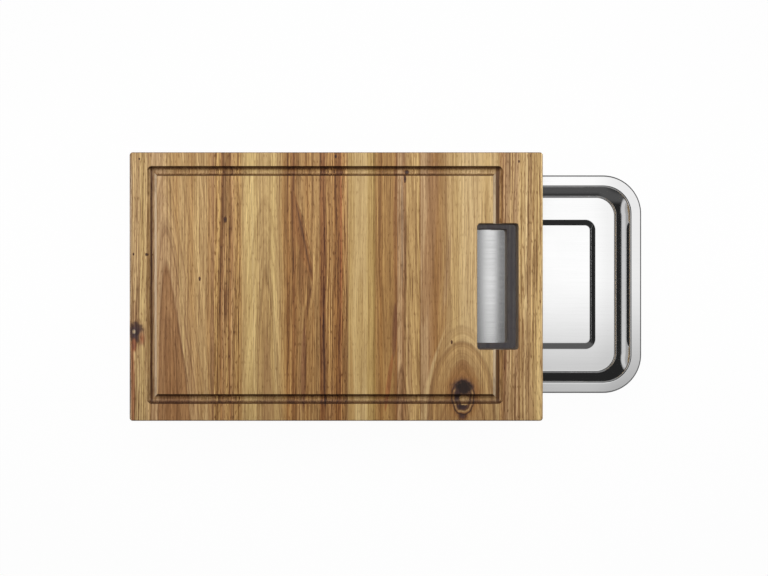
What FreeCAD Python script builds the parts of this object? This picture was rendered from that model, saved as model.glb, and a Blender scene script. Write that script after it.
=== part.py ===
"""Cutting board with a pull-out steel tray, as a parametric FreeCAD document.

A panel of eleven edge-glued staves lies on two side rails and an end rail. The side rails carry a
runner along their upper inner edges, and the rim of a pressed steel tray slides along it, out at the
right-hand end. What is swept through the scrap hole in the panel drops into the tray.

Frame: millimetres, +X towards the end where the tray comes out, +Y towards the back, +Z up, with
z = 0 on the table. The origin is below the middle of the board with its tray standing part way out.
"""

import FreeCAD, Part
import math
import os

import Sketcher

# Driving dimensions: the name of each cell, its value and what it measures.
DRIVING = [
    ("stave_01_width", 21.0, "stave at the left end"),
    ("stave_02_width", 60.5, "second stave"),
    ("stave_03_width", 26.0, "third stave"),
    ("stave_04_width", 45.0, "fourth stave"),
    ("stave_05_width", 31.5, "fifth stave"),
    ("stave_06_width", 27.0, "sixth stave"),
    ("stave_07_width", 27.0, "seventh stave"),
    ("stave_08_width", 21.0, "eighth stave"),
    ("stave_09_width", 22.5, "ninth stave"),
    ("stave_10_width", 76.5, "tenth stave"),
    ("stave_11_width", 42.0, "stave at the right end"),
    ("board_depth", 260.0, "board, front to back"),
    ("panel_thickness", 20.0, "panel of glued staves"),
    ("corner_round", 3.0, "upright corners of the panel"),
    ("top_edge_round", 1.5, "edge of the cutting surface"),
    ("under_edge_round", 1.0, "lower edge of the panel and long edges of the rails"),
    ("groove_width", 9.2, "juice groove, as wide as its round-nosed cutter"),
    ("groove_depth", 5.2, "juice groove"),
    ("groove_edge_round", 0.4, "upper edges of the juice groove"),
    ("groove_left", 21.8, "left end of the board to the middle of the groove"),
    ("groove_back", 18.2, "back edge of the board to the middle of the groove"),
    ("groove_front", 21.2, "front edge of the board to the middle of the groove"),
    ("hole_width", 40.0, "scrap hole along the board"),
    ("hole_length", 122.0, "scrap hole across the board"),
    ("hole_from_right", 43.6, "right end of the board to the middle of the scrap hole"),
    ("hole_corner", 3.0, "upright corners of the scrap hole"),
    ("hole_edge_round", 0.8, "upper and lower edges of the scrap hole"),
    ("rail_height", 36.0, "side rails and end rail"),
    ("rail_thickness", 28.0, "side rail, front to back"),
    ("end_rail_thickness", 22.0, "end rail along the board"),
    ("runner_depth", 9.0, "how far the runner is cut into a side rail"),
    ("sheet", 0.8, "steel sheet of the tray"),
    ("lip_height", 3.6, "turned-down lip round the tray's rim"),
    ("lip_bend", 1.6, "outer radius of the bend from rim to lip"),
    ("flange_width", 11.3, "rim of the tray, outer edge to the line of its wall"),
    ("rim_corner", 38.0, "corners of the rim, seen from above"),
    ("wall_draft", 15.0, "lean of the tray's walls, in degrees"),
    ("mouth_bend", 1.2, "inner radius of the bend from rim to wall"),
    ("floor_bend", 5.0, "inner radius of the bend from wall to floor"),
    ("end_channel", 20.6, "floor between an end wall and the raised field"),
    ("side_channel", 23.6, "floor between a side wall and the raised field"),
    ("field_corner", 10.5, "corners at the foot of the raised field, seen from above"),
    ("field_height", 2.0, "raised field of the tray's floor"),
    ("field_slope", 6.0, "level width of the slope round the raised field"),
    ("seat_gap", 0.3, "lip of the tray above the runner"),
    ("head_gap", 1.2, "rim of the tray below the panel"),
    ("side_gap", 3.0, "play of the tray between the side rails, each side"),
    ("tray_shift", 2.4, "tray off the middle of its play, towards the back"),
    ("rear_gap", 1.0, "rim of the closed tray to the end rail"),
    ("ground_gap", 9.0, "tray above the table"),
    ("pull_reveal", 8.0, "how far the closed tray stands out, for the fingers"),
    ("tray_out", 101.5, "how far the tray stands out of the board as modelled"),
    ("foot_radius", 9.0, "rubber foot against the rail"),
    ("foot_sole_radius", 8.0, "rubber foot on the table"),
    ("foot_height", 4.0, "rubber foot"),
    ("foot_edge_round", 0.6, "lower edge of the foot"),
    ("foot_inset", 26.0, "end of the board to the middle of a foot"),
    ("screw_radius", 1.6, "shank of the foot's screw"),
    ("screw_length", 14.0, "shank of the foot's screw below its head"),
    ("screw_tip", 3.0, "pointed end of the shank"),
    ("head_radius", 3.3, "head of the foot's screw"),
    ("head_height", 1.7, "head of the foot's screw"),
    ("head_crown", 0.6, "rounded edge of the screw's head"),
    ("slot_width", 0.9, "slot across the screw's head"),
    ("slot_depth", 0.8, "slot across the screw's head"),
    ("head_recess", 0.6, "screw's head above the sole of the foot"),
    ("head_clearance", 0.5, "screw's head to the wall of its recess in the foot"),
    ("shank_clearance", 0.1, "screw's shank to its hole"),
    ("tip_clearance", 1.5, "screw's point to the end of its hole"),
    ("dowel_radius", 4.0, "beech dowel"),
    ("dowel_chamfer", 0.8, "ends of the dowel"),
    ("dowel_in_panel", 10.0, "dowel above the top of the rail"),
    ("dowel_in_rail", 18.0, "dowel below the top of the rail"),
    ("dowel_end_gap", 1.0, "room for glue past each end of a dowel"),
    ("dowel_clearance", 0.05, "dowel to its hole"),
    ("dowel_inset", 45.0, "end of the board to the middle of the nearest dowel"),
    ("side_dowels", 4, "dowels in each side rail"),
    ("end_dowel_spacing", 120.0, "between the two dowels of the end rail"),
]

STAVES = [name.removesuffix("_width") for name, _, _ in DRIVING if name.startswith("stave_")]

# Dimensions worked out from the driving ones, in the sheet's own formulas.
DERIVED = [
    ("board_length", "=" + " + ".join(f"{stave}_width" for stave in STAVES)),
    ("half_depth", "=board_depth / 2"),
    ("board_left", "=-(board_length + tray_out) / 2"),
    ("rail_bottom", "=foot_height"),
    ("rail_top", "=rail_bottom + rail_height"),
    ("hole_centre", "=board_length - hole_from_right"),
    ("groove_radius", "=groove_width / 2"),
    ("rail_inner", "=half_depth - rail_thickness"),
    ("bay_length", "=board_length - end_rail_thickness"),
    ("runner_height", "=lip_height + seat_gap + head_gap"),
    ("runner_wall", "=rail_thickness - runner_depth"),
    ("tray_half_width", "=half_depth - runner_wall - side_gap"),
    ("tray_half_length", "=(bay_length - rear_gap + pull_reveal) / 2"),
    ("tray_top", "=rail_top - head_gap"),
    ("tray_depth", "=tray_top - ground_gap"),
    ("tray_centre", "=board_left + board_length + tray_out - tray_half_length"),
    ("basin_inset", "=flange_width - sheet / cos(wall_draft * 1deg)"),
    ("floor_depth", "=tray_depth - sheet"),
    ("floor_inset", "=flange_width + floor_depth * tan(wall_draft * 1deg)"),
    ("field_half_length", "=tray_half_length - floor_inset - end_channel"),
    ("field_half_width", "=tray_half_width - floor_inset - side_channel"),
    ("field_pitch", "=atan(field_height / field_slope) / 1deg"),
    ("hollow_inset", "=sheet * tan(field_pitch * 0.5deg)"),
    ("rail_middle", "=half_depth - rail_thickness / 2"),
    ("dowel_line", "=half_depth - runner_wall / 2"),
    ("dowel_pitch", "=(board_length - 2 * dowel_inset) / (side_dowels - 1)"),
    ("dowel_hole_radius", "=dowel_radius + dowel_clearance"),
    ("head_pocket_depth", "=head_recess + head_height"),
    ("head_pocket_radius", "=head_radius + head_clearance"),
    ("screw_hole_radius", "=screw_radius + shank_clearance"),
    ("screw_hole_depth", "=screw_length + tip_clearance + head_pocket_depth - foot_height"),
]

# ----------------------------------------------------------------------------- the sheet of sizes

SAME_LENGTH = 1e-4
NORMAL = FreeCAD.Vector(0, 0, 1)

document = FreeCAD.newDocument("cutting_board")
sizes = document.addObject("Spreadsheet::Sheet", "sizes")


def fill_sheet():
    """Write every size into the sheet: name, value, what it measures."""
    rows = [(name, str(value), note) for name, value, note in DRIVING]
    rows += [(name, formula, "worked out") for name, formula in DERIVED]
    for row, (name, content, note) in enumerate(rows, 1):
        sizes.set(f"A{row}", name)
        sizes.set(f"B{row}", content)
        sizes.set(f"C{row}", note)
        sizes.setAlias(f"B{row}", name)
    document.recompute()


def size(expression):
    """Value of an expression in the sheet's names, such as "sizes.sheet * 2"."""
    result = sizes.evalExpression(expression)
    return float(getattr(result, "Value", result))


# ------------------------------------------------------------------------------ drawing and features

def new_body(name):
    """A body whose label is the name of its part."""
    body = document.addObject("PartDesign::Body", name)
    body.Label = name
    return body


def place(piece, x="0", y="0", z="0"):
    """Tie the place of a piece to the sizes."""
    for axis, expression in zip("xyz", (x, y, z)):
        piece.setExpression(f"Placement.Base.{axis}", expression)


def new_sketch(body, plane, level="0"):
    """A sketch on one of the body's origin planes, moved along the plane's normal to a level."""
    sketch = body.newObject("Sketcher::SketchObject", f"{body.Name}_sketch")
    support = next(item for item in body.Origin.OriginFeatures if item.Role == plane)
    sketch.AttachmentSupport = [(support, "")]
    sketch.MapMode = "FlatFace"
    sketch.setExpression("AttachmentOffset.Base.z", level)
    return sketch


def hold(sketch, kind, expression, *where):
    """Add a constraint whose value follows the sizes."""
    index = sketch.addConstraint(Sketcher.Constraint(kind, *where, size(expression)))
    sketch.setExpression(f"Constraints[{index}]", expression)


def hold_point(sketch, geometry, point, x, y):
    """Hold a point at x, y from the sketch's origin."""
    origin, vertical, horizontal = (-1, 1), -2, -1
    if x == "0":
        sketch.addConstraint(Sketcher.Constraint("PointOnObject", geometry, point, vertical))
    else:
        hold(sketch, "DistanceX", x, *origin, geometry, point)
    if y == "0":
        sketch.addConstraint(Sketcher.Constraint("PointOnObject", geometry, point, horizontal))
    else:
        hold(sketch, "DistanceY", y, *origin, geometry, point)


def vector(x, y, z=0.0):
    """A point or direction; a sketch's points lie at z = 0."""
    return FreeCAD.Vector(x, y, z)


def draw_path(sketch, corners, closed=True):
    """Draw straight lines through corners, each a pair of expressions."""
    points = [vector(size(x), size(y)) for x, y in corners]
    lines = len(points) if closed else len(points) - 1
    for n in range(lines):
        sketch.addGeometry(Part.LineSegment(points[n], points[(n + 1) % len(points)]), False)
        hold_point(sketch, n, 1, *corners[n])
    for n in range(lines if closed else lines - 1):
        sketch.addConstraint(Sketcher.Constraint("Coincident", n, 2, (n + 1) % lines, 1))
    if not closed:
        hold_point(sketch, lines - 1, 2, *corners[-1])


def draw_circle(sketch, x, y, radius):
    """Draw a circle about x, y."""
    circle = sketch.addGeometry(Part.Circle(vector(size(x), size(y)), NORMAL, size(radius)), False)
    hold_point(sketch, circle, 3, x, y)
    hold(sketch, "Radius", radius, circle)


def draw_rounded_rectangle(sketch, half_x, half_y, radius, centre_x="0"):
    """Draw a rectangle with round corners, centred on the sketch's X axis at centre_x."""
    middle, run, rise, bend = size(centre_x), size(half_x), size(half_y), size(radius)
    for n, (side_x, side_y) in enumerate(((1, 1), (-1, 1), (-1, -1), (1, -1))):
        corner = Part.Circle(vector(middle + side_x * (run - bend), side_y * (rise - bend)), NORMAL, bend)
        start = n * math.pi / 2
        sketch.addGeometry(Part.ArcOfCircle(corner, start, start + math.pi / 2), False)
    for n in range(4):
        leave = sketch.Geometry[n].EndPoint
        reach = sketch.Geometry[(n + 1) % 4].StartPoint
        sketch.addGeometry(Part.LineSegment(leave, reach), False)
    for n in range(4):
        sketch.addConstraint(Sketcher.Constraint("Tangent", n, 2, 4 + n, 1))
        sketch.addConstraint(Sketcher.Constraint("Tangent", 4 + n, 2, (n + 1) % 4, 1))
    for n in range(1, 4):
        sketch.addConstraint(Sketcher.Constraint("Equal", 0, n))
    sketch.addConstraint(Sketcher.Constraint("Horizontal", 4))
    sketch.addConstraint(Sketcher.Constraint("Vertical", 5))
    hold(sketch, "Radius", radius, 0)
    hold(sketch, "DistanceY", half_y, -1, 1, 4, 1)
    hold(sketch, "DistanceY", f"-({half_y})", -1, 1, 6, 1)
    hold(sketch, "DistanceX", f"{centre_x} + {half_x}", -1, 1, 7, 1)
    hold(sketch, "DistanceX", f"{centre_x} - ({half_x})", -1, 1, 5, 1)


def extrude(body, kind, sketch, length, upwards=True, draft=None):
    """Pad or pocket a sketch; a pocket by itself runs against the sketch's normal."""
    feature = body.newObject(f"PartDesign::{kind}", f"{body.Name}_{kind.lower()}")
    feature.Profile = sketch
    feature.setExpression("Length", length)
    feature.Reversed = upwards == (kind == "Pocket")
    if draft:
        feature.setExpression("TaperAngle", draft)
    document.recompute()
    return feature


def revolve(body, sketch):
    """Turn a sketch on the XZ plane a whole turn about the body's Z axis."""
    feature = body.newObject("PartDesign::Revolution", f"{body.Name}_revolution")
    feature.Profile = sketch
    feature.ReferenceAxis = (sketch, ["V_Axis"])
    feature.Angle = 360
    document.recompute()
    return feature


def dress(body, kind, test, amount):
    """Fillet or chamfer the edges of the body's last feature that pass a test."""
    base = body.Tip
    edges = [f"Edge{n}" for n, edge in enumerate(base.Shape.Edges, 1) if test(edge)]
    if not edges:
        raise ValueError(f"{body.Name}: no edge to {kind.lower()}")
    feature = body.newObject(f"PartDesign::{kind}", f"{body.Name}_{kind.lower()}")
    feature.Base = (base, edges)
    feature.setExpression("Size" if kind == "Chamfer" else "Radius", amount)
    document.recompute()
    return feature


def near(a, b):
    """Whether two lengths are the same."""
    return abs(a - b) < SAME_LENGTH


def level_at(z, within=math.inf, beyond=-math.inf):
    """Test for edges level at a height that reach past beyond, front or back, but not past within."""
    def test(edge):
        box = edge.BoundBox
        reach = max(box.YMax, -box.YMin)
        return near(box.ZMin, z) and near(box.ZMax, z) and beyond + SAME_LENGTH < reach < within + SAME_LENGTH
    return test


# ----------------------------------------------------------------------------- panel and its staves

def dowel_places():
    """Middle of each dowel, x from the board's left end and y, by the rail that carries it."""
    count = round(size("sizes.side_dowels"))
    line = [f"sizes.dowel_inset + {n} * sizes.dowel_pitch" for n in range(count)]
    spread = "sizes.end_dowel_spacing / 2"
    end = "sizes.end_rail_thickness / 2"
    return {
        "front_rail": [(x, "-sizes.dowel_line") for x in line],
        "back_rail": [(x, "sizes.dowel_line") for x in line],
        "end_rail": [(end, f"-{spread}"), (end, spread)],
    }


def build_panel():
    """The glued-up panel, machined as one: outline, scrap hole, juice groove, dowel holes."""
    body = new_body("panel")
    outline = new_sketch(body, "XY_Plane")
    draw_rounded_rectangle(outline, "sizes.board_length / 2", "sizes.half_depth", "sizes.corner_round",
                           "sizes.board_length / 2")
    extrude(body, "Pad", outline, "sizes.panel_thickness")
    top = size("sizes.panel_thickness")
    dress(body, "Fillet", level_at(top), "sizes.top_edge_round")
    dress(body, "Fillet", level_at(0), "sizes.under_edge_round")

    hole = new_sketch(body, "XY_Plane", "sizes.panel_thickness")
    draw_rounded_rectangle(hole, "sizes.hole_width / 2", "sizes.hole_length / 2", "sizes.hole_corner",
                           "sizes.hole_centre")
    extrude(body, "Pocket", hole, "sizes.panel_thickness", upwards=False)
    reach = size("sizes.hole_length / 2")
    for level in (0, top):
        dress(body, "Fillet", level_at(level, within=reach), "sizes.hole_edge_round")
    cut_groove(body)
    groove_edges = level_at(top, beyond=size("sizes.hole_length / 2 + sizes.hole_edge_round"),
                            within=size("sizes.half_depth - sizes.corner_round"))
    dress(body, "Fillet", groove_edges, "sizes.groove_edge_round")

    sockets = new_sketch(body, "XY_Plane")
    for places in dowel_places().values():
        for x, y in places:
            draw_circle(sockets, x, y, "sizes.dowel_hole_radius")
    extrude(body, "Pocket", sockets, "sizes.dowel_in_panel + sizes.dowel_end_gap")
    place(body, "sizes.board_left", "0", "sizes.rail_top")
    return body


def cut_groove(body):
    """The juice groove: a round-nosed cutter led round the board from the scrap hole and back to it."""
    route = new_sketch(body, "XY_Plane", "sizes.panel_thickness")
    back = "sizes.half_depth - sizes.groove_back"
    front = "sizes.groove_front - sizes.half_depth"
    into_hole = "sizes.hole_length / 2 - sizes.groove_width"
    draw_path(route, [("sizes.hole_centre", into_hole), ("sizes.hole_centre", back),
                      ("sizes.groove_left", back), ("sizes.groove_left", front),
                      ("sizes.hole_centre", front), ("sizes.hole_centre", f"-({into_hole})")], closed=False)

    section = new_sketch(body, "XZ_Plane", f"-({into_hole})")
    across, deep, half = size("sizes.hole_centre"), size("sizes.panel_thickness"), size("sizes.groove_radius")
    bottom = size("sizes.groove_depth - sizes.groove_radius")
    nose = Part.Circle(vector(across, deep - bottom), NORMAL, half)
    section.addGeometry(Part.ArcOfCircle(nose, math.pi, 2 * math.pi), False)
    rim = [vector(across + half, deep - bottom), vector(across + half, deep + half),
           vector(across - half, deep + half), vector(across - half, deep - bottom)]
    for start, end in zip(rim, rim[1:]):
        section.addGeometry(Part.LineSegment(start, end), False)
    section.addConstraint(Sketcher.Constraint("Tangent", 0, 2, 1, 1))
    section.addConstraint(Sketcher.Constraint("Coincident", 1, 2, 2, 1))
    section.addConstraint(Sketcher.Constraint("Coincident", 2, 2, 3, 1))
    section.addConstraint(Sketcher.Constraint("Tangent", 3, 2, 0, 1))
    section.addConstraint(Sketcher.Constraint("Vertical", 1))
    section.addConstraint(Sketcher.Constraint("Horizontal", 2))
    section.addConstraint(Sketcher.Constraint("Vertical", 3))
    centre_height = "sizes.panel_thickness - sizes.groove_depth + sizes.groove_radius"
    hold_point(section, 0, 3, "sizes.hole_centre", centre_height)
    hold(section, "Radius", "sizes.groove_radius", 0)
    hold(section, "DistanceY", "sizes.panel_thickness + sizes.groove_radius", -1, 1, 1, 2)

    groove = body.newObject("PartDesign::SubtractivePipe", "groove")
    groove.Profile = section
    groove.Spine = (route, [f"Edge{n}" for n in range(1, route.GeometryCount + 1)])
    groove.Transition = "Round corner"
    document.recompute()


def build_staves(panel):
    """The staves: the panel's slices between its glue lines."""
    staves = []
    start = "sizes.board_left"
    for name in STAVES:
        width = f"sizes.{name}_width"
        slab = document.addObject("Part::Box", f"{name}_slab")
        slab.setExpression("Length", width)
        slab.setExpression("Width", "sizes.board_depth")
        slab.setExpression("Height", "sizes.panel_thickness")
        place(slab, start, "-sizes.half_depth", "sizes.rail_top")
        stave = document.addObject("Part::Common", name)
        stave.Label = name
        stave.Base = panel
        stave.Tool = slab
        staves.append(stave)
        start = f"{start} + {width}"
    return staves


# ----------------------------------------------------------------------------------------- the rails

def build_side_rail(side):
    """A side rail with its runner, dowel holes and screw holes; side is -1 in front and 1 at the back."""
    name = "front_rail" if side < 0 else "back_rail"
    body = new_body(name)
    outer, inner = f"{side} * sizes.half_depth", f"{side} * sizes.rail_inner"
    outline = new_sketch(body, "XY_Plane")
    draw_path(outline, [("0", outer), ("sizes.board_length", outer),
                        ("sizes.board_length", inner), ("0", inner)])
    extrude(body, "Pad", outline, "sizes.rail_height")
    outer_at, length = size(outer), size("sizes.board_length")

    def weathered(edge):
        """Long and upright edges on the outer face, and the lower edges of the two ends."""
        box = edge.BoundBox
        outside = near(box.YMin, outer_at) and near(box.YMax, outer_at)
        at_end = near(box.XLength, 0) and near(box.ZMax, 0)
        return outside or at_end

    dress(body, "Fillet", weathered, "sizes.under_edge_round")

    runner = new_sketch(body, "XY_Plane", "sizes.rail_height")
    wall = f"{side} * (sizes.rail_inner + sizes.runner_depth)"
    draw_path(runner, [("sizes.end_rail_thickness", inner), ("sizes.board_length", inner),
                       ("sizes.board_length", wall), ("sizes.end_rail_thickness", wall)])
    extrude(body, "Pocket", runner, "sizes.runner_height", upwards=False)

    sockets = new_sketch(body, "XY_Plane", "sizes.rail_height")
    for x, y in dowel_places()[name]:
        draw_circle(sockets, x, y, "sizes.dowel_hole_radius")
    extrude(body, "Pocket", sockets, "sizes.dowel_in_rail + sizes.dowel_end_gap", upwards=False)

    pilots = new_sketch(body, "XY_Plane")
    for x in ("sizes.foot_inset", "sizes.board_length - sizes.foot_inset"):
        draw_circle(pilots, x, f"{side} * sizes.rail_middle", "sizes.screw_hole_radius")
    extrude(body, "Pocket", pilots, "sizes.screw_hole_depth")
    place(body, "sizes.board_left", "0", "sizes.rail_bottom")
    return body


def build_end_rail():
    """The rail across the closed end, between the side rails."""
    body = new_body("end_rail")
    outline = new_sketch(body, "XY_Plane")
    draw_path(outline, [("0", "-sizes.rail_inner"), ("sizes.end_rail_thickness", "-sizes.rail_inner"),
                        ("sizes.end_rail_thickness", "sizes.rail_inner"), ("0", "sizes.rail_inner")])
    extrude(body, "Pad", outline, "sizes.rail_height")

    def outer_lower(edge):
        box = edge.BoundBox
        return near(box.XMax, 0) and near(box.ZLength, 0)

    dress(body, "Fillet", outer_lower, "sizes.under_edge_round")
    sockets = new_sketch(body, "XY_Plane", "sizes.rail_height")
    for x, y in dowel_places()["end_rail"]:
        draw_circle(sockets, x, y, "sizes.dowel_hole_radius")
    extrude(body, "Pocket", sockets, "sizes.dowel_in_rail + sizes.dowel_end_gap", upwards=False)
    place(body, "sizes.board_left", "0", "sizes.rail_bottom")
    return body


def build_dowels():
    """The beech dowels that hold the panel to its rails, upright through the glued faces."""
    dowels = []
    for rail, places in dowel_places().items():
        for number, (x, y) in enumerate(places, 1):
            body = new_body(f"{rail}_dowel_{number}")
            outline = new_sketch(body, "XY_Plane")
            draw_circle(outline, "0", "0", "sizes.dowel_radius")
            extrude(body, "Pad", outline, "sizes.dowel_in_rail + sizes.dowel_in_panel")
            dress(body, "Chamfer", lambda edge: near(edge.BoundBox.ZLength, 0), "sizes.dowel_chamfer")
            place(body, f"sizes.board_left + {x}", y, "sizes.rail_top - sizes.dowel_in_rail")
            dowels.append(body)
    return dowels


# ------------------------------------------------------------------------------------ feet and screws

def build_foot(name, x, y):
    """A rubber foot with a recess for its screw's head."""
    sole = size("sizes.foot_sole_radius")

    def sole_edge(edge):
        """Test for the outer edge of the sole."""
        return level_at(0)(edge) and near(edge.Curve.Radius, sole)

    body = new_body(name)
    section = new_sketch(body, "XZ_Plane")
    draw_path(section, [("sizes.screw_hole_radius", "sizes.head_pocket_depth"),
                        ("sizes.head_pocket_radius", "sizes.head_pocket_depth"),
                        ("sizes.head_pocket_radius", "0"), ("sizes.foot_sole_radius", "0"),
                        ("sizes.foot_radius", "sizes.foot_height"),
                        ("sizes.screw_hole_radius", "sizes.foot_height")])
    revolve(body, section)
    dress(body, "Fillet", sole_edge, "sizes.foot_edge_round")
    place(body, x, y)
    return body


def build_screw(name, x, y):
    """A wood screw, head down in its foot and pointed end up in the rail."""
    body = new_body(name)
    section = new_sketch(body, "XZ_Plane")
    tip = "sizes.head_height + sizes.screw_length"
    draw_path(section, [("0", "0"), ("sizes.head_radius", "0"), ("sizes.head_radius", "sizes.head_height"),
                        ("sizes.screw_radius", "sizes.head_height"),
                        ("sizes.screw_radius", f"{tip} - sizes.screw_tip"), ("0", tip)])
    revolve(body, section)
    dress(body, "Fillet", level_at(0), "sizes.head_crown")
    slot = new_sketch(body, "XY_Plane")
    reach, half = "sizes.head_radius", "sizes.slot_width / 2"
    draw_path(slot, [(f"-{reach}", f"-{half}"), (reach, f"-{half}"), (reach, half), (f"-{reach}", half)])
    extrude(body, "Pocket", slot, "sizes.slot_depth")
    place(body, x, y, "sizes.head_recess")
    return body


def build_feet():
    """Four feet, each with its screw, under the ends of the side rails."""
    pieces = []
    for end, x in (("left", "sizes.board_left + sizes.foot_inset"),
                   ("right", "sizes.board_left + sizes.board_length - sizes.foot_inset")):
        for side, y in (("front", "-sizes.rail_middle"), ("back", "sizes.rail_middle")):
            pieces.append(build_foot(f"foot_{side}_{end}", x, y))
            pieces.append(build_screw(f"foot_screw_{side}_{end}", x, y))
    return pieces


# ------------------------------------------------------------------------------------------ the tray

def draw_rim(sketch, inset="0"):
    """Draw the outline of the tray's rim, drawn in by an inset."""
    draw_rounded_rectangle(sketch, f"sizes.tray_half_length - {inset}", f"sizes.tray_half_width - {inset}",
                           f"sizes.rim_corner - {inset}")


def draw_field(sketch, inset="0"):
    """Draw the foot of the raised field, drawn in by an inset."""
    draw_rounded_rectangle(sketch, f"sizes.field_half_length - {inset}", f"sizes.field_half_width - {inset}",
                           f"sizes.field_corner - {inset}")


def build_tray():
    """The pressed tray: rim with a turned-down lip, leaning walls, floor with a raised field."""
    body = new_body("tray")
    inside_flange = size("sizes.tray_half_width - sizes.flange_width / 2")

    rim = new_sketch(body, "XY_Plane")
    draw_rim(rim)
    extrude(body, "Pad", rim, "sizes.lip_height", upwards=False)
    dress(body, "Fillet", level_at(0), "sizes.lip_bend")
    under_rim = new_sketch(body, "XY_Plane", "-sizes.lip_height")
    draw_rim(under_rim, "sizes.sheet")
    extrude(body, "Pocket", under_rim, "sizes.lip_height - sizes.sheet")
    dress(body, "Fillet", level_at(size("-sizes.sheet")), "sizes.lip_bend - sizes.sheet")

    basin = new_sketch(body, "XY_Plane")
    draw_rim(basin, "sizes.basin_inset")
    extrude(body, "Pad", basin, "sizes.tray_depth", upwards=False, draft="-sizes.wall_draft")
    inside = new_sketch(body, "XY_Plane")
    draw_rim(inside, "sizes.flange_width")
    extrude(body, "Pocket", inside, "sizes.floor_depth", upwards=False, draft="-sizes.wall_draft")
    dress(body, "Fillet", level_at(size("-sizes.floor_depth")), "sizes.floor_bend")
    dress(body, "Fillet", level_at(size("-sizes.tray_depth")), "sizes.floor_bend + sizes.sheet")
    dress(body, "Fillet", level_at(0, inside_flange), "sizes.mouth_bend + sizes.sheet")
    dress(body, "Fillet", level_at(size("-sizes.sheet"), inside_flange), "sizes.mouth_bend")

    field = new_sketch(body, "XY_Plane", "-sizes.floor_depth")
    draw_field(field)
    extrude(body, "Pad", field, "sizes.field_height", draft="sizes.field_pitch - 90")
    hollow = new_sketch(body, "XY_Plane", "-sizes.tray_depth")
    draw_field(hollow, "sizes.hollow_inset")
    extrude(body, "Pocket", hollow, "sizes.field_height", draft="sizes.field_pitch - 90")
    place(body, "sizes.tray_centre", "sizes.tray_shift", "sizes.tray_top")
    return body


# ---------------------------------------------------------------------------------------- the document

def check(pieces):
    """Stop on a failed object, or on a piece that is empty or not valid."""
    for item in document.Objects:
        if {"Invalid", "Error"} & set(item.State):
            raise ValueError(f"{item.Name}: {item.State}")
    for piece in pieces:
        if piece.Shape.isNull() or not piece.Shape.isValid() or not piece.Shape.Solids:
            raise ValueError(f"{piece.Label}: bad shape")


def main():
    """Build every piece and write each one to parts/."""
    fill_sheet()
    pieces = build_staves(build_panel())
    pieces += [build_side_rail(-1), build_side_rail(1), build_end_rail()]
    pieces += build_dowels() + build_feet() + [build_tray()]
    document.recompute()
    check(pieces)
    os.makedirs("parts", exist_ok=True)
    for piece in pieces:
        piece.Shape.exportStep(f"parts/{piece.Label}.step")
        print(f"{piece.Label}: {len(piece.Shape.Solids)} solid, {piece.Shape.Volume:.1f} mm3")


main()
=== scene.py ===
"""Looks of a chopping board with a steel drawer tray: glued acacia staves, acacia rails, rubber feet.

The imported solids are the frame. Staves, rails and dowels keep their solids and get their wood here. The
tray, the feet and the foot screws are drawn again by Geometry Nodes in the same places.

Lengths are metres, except on the wood. A wood finish is marked out in millimetres from the left end of
the board (x) and from its middle towards the back (y), as a joiner would mark it on the bench.
"""

from __future__ import annotations

import logging
import math
from dataclasses import dataclass, replace
from enum import Enum
from typing import Any, Callable, Optional, Union

import bpy
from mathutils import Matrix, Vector


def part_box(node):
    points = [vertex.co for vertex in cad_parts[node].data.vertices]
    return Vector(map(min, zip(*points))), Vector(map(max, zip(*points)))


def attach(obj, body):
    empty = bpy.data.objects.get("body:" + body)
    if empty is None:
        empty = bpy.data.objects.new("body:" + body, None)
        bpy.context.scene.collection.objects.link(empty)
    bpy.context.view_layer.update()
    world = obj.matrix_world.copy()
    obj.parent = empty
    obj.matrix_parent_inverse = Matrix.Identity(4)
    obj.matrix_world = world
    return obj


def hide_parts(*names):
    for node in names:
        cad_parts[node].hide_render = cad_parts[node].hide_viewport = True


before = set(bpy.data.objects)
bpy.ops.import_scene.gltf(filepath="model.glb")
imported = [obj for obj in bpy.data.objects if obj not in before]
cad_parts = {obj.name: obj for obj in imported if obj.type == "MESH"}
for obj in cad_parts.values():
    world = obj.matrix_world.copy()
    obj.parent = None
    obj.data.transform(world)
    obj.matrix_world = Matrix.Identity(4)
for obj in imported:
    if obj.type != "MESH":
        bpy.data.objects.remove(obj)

LOG = logging.getLogger("chopping_board")
MM = 0.001
BOARD, TRAY = "board", "tray"
STAVES = sorted(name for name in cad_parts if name.startswith("stave_"))
HALF_LENGTH, HALF_WIDTH = 200.0, 130.0  # of the panel, in the wood's millimetres
Point = tuple[float, float]


# ------------------------------------------------------------------------------------- node trees

def linear(screen: tuple[int, int, int]) -> tuple[float, float, float, float]:
    """Turn a screen colour, each channel 0 to 255, into the linear colour that a socket takes.

    Args:
        screen: Red, green and blue as seen on a screen.

    Returns:
        Linear red, green and blue, and an alpha of 1.
    """
    share = [channel / 255 for channel in screen]
    red, green, blue = (c / 12.92 if c <= 0.04045 else ((c + 0.055) / 1.055) ** 2.4 for c in share)
    return red, green, blue, 1.0


def operator(operation: str, swapped: bool = False) -> Callable[[Term, Number], Term]:
    """Make a method that joins a term and another number by a Math node.

    Args:
        operation: The node's operation.
        swapped: Whether the other number comes first.

    Returns:
        The method.
    """
    def method(term: Term, other: Number) -> Term:
        """Add the node."""
        return term.graph.math(operation, *((other, term) if swapped else (term, other)))

    return method


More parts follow.
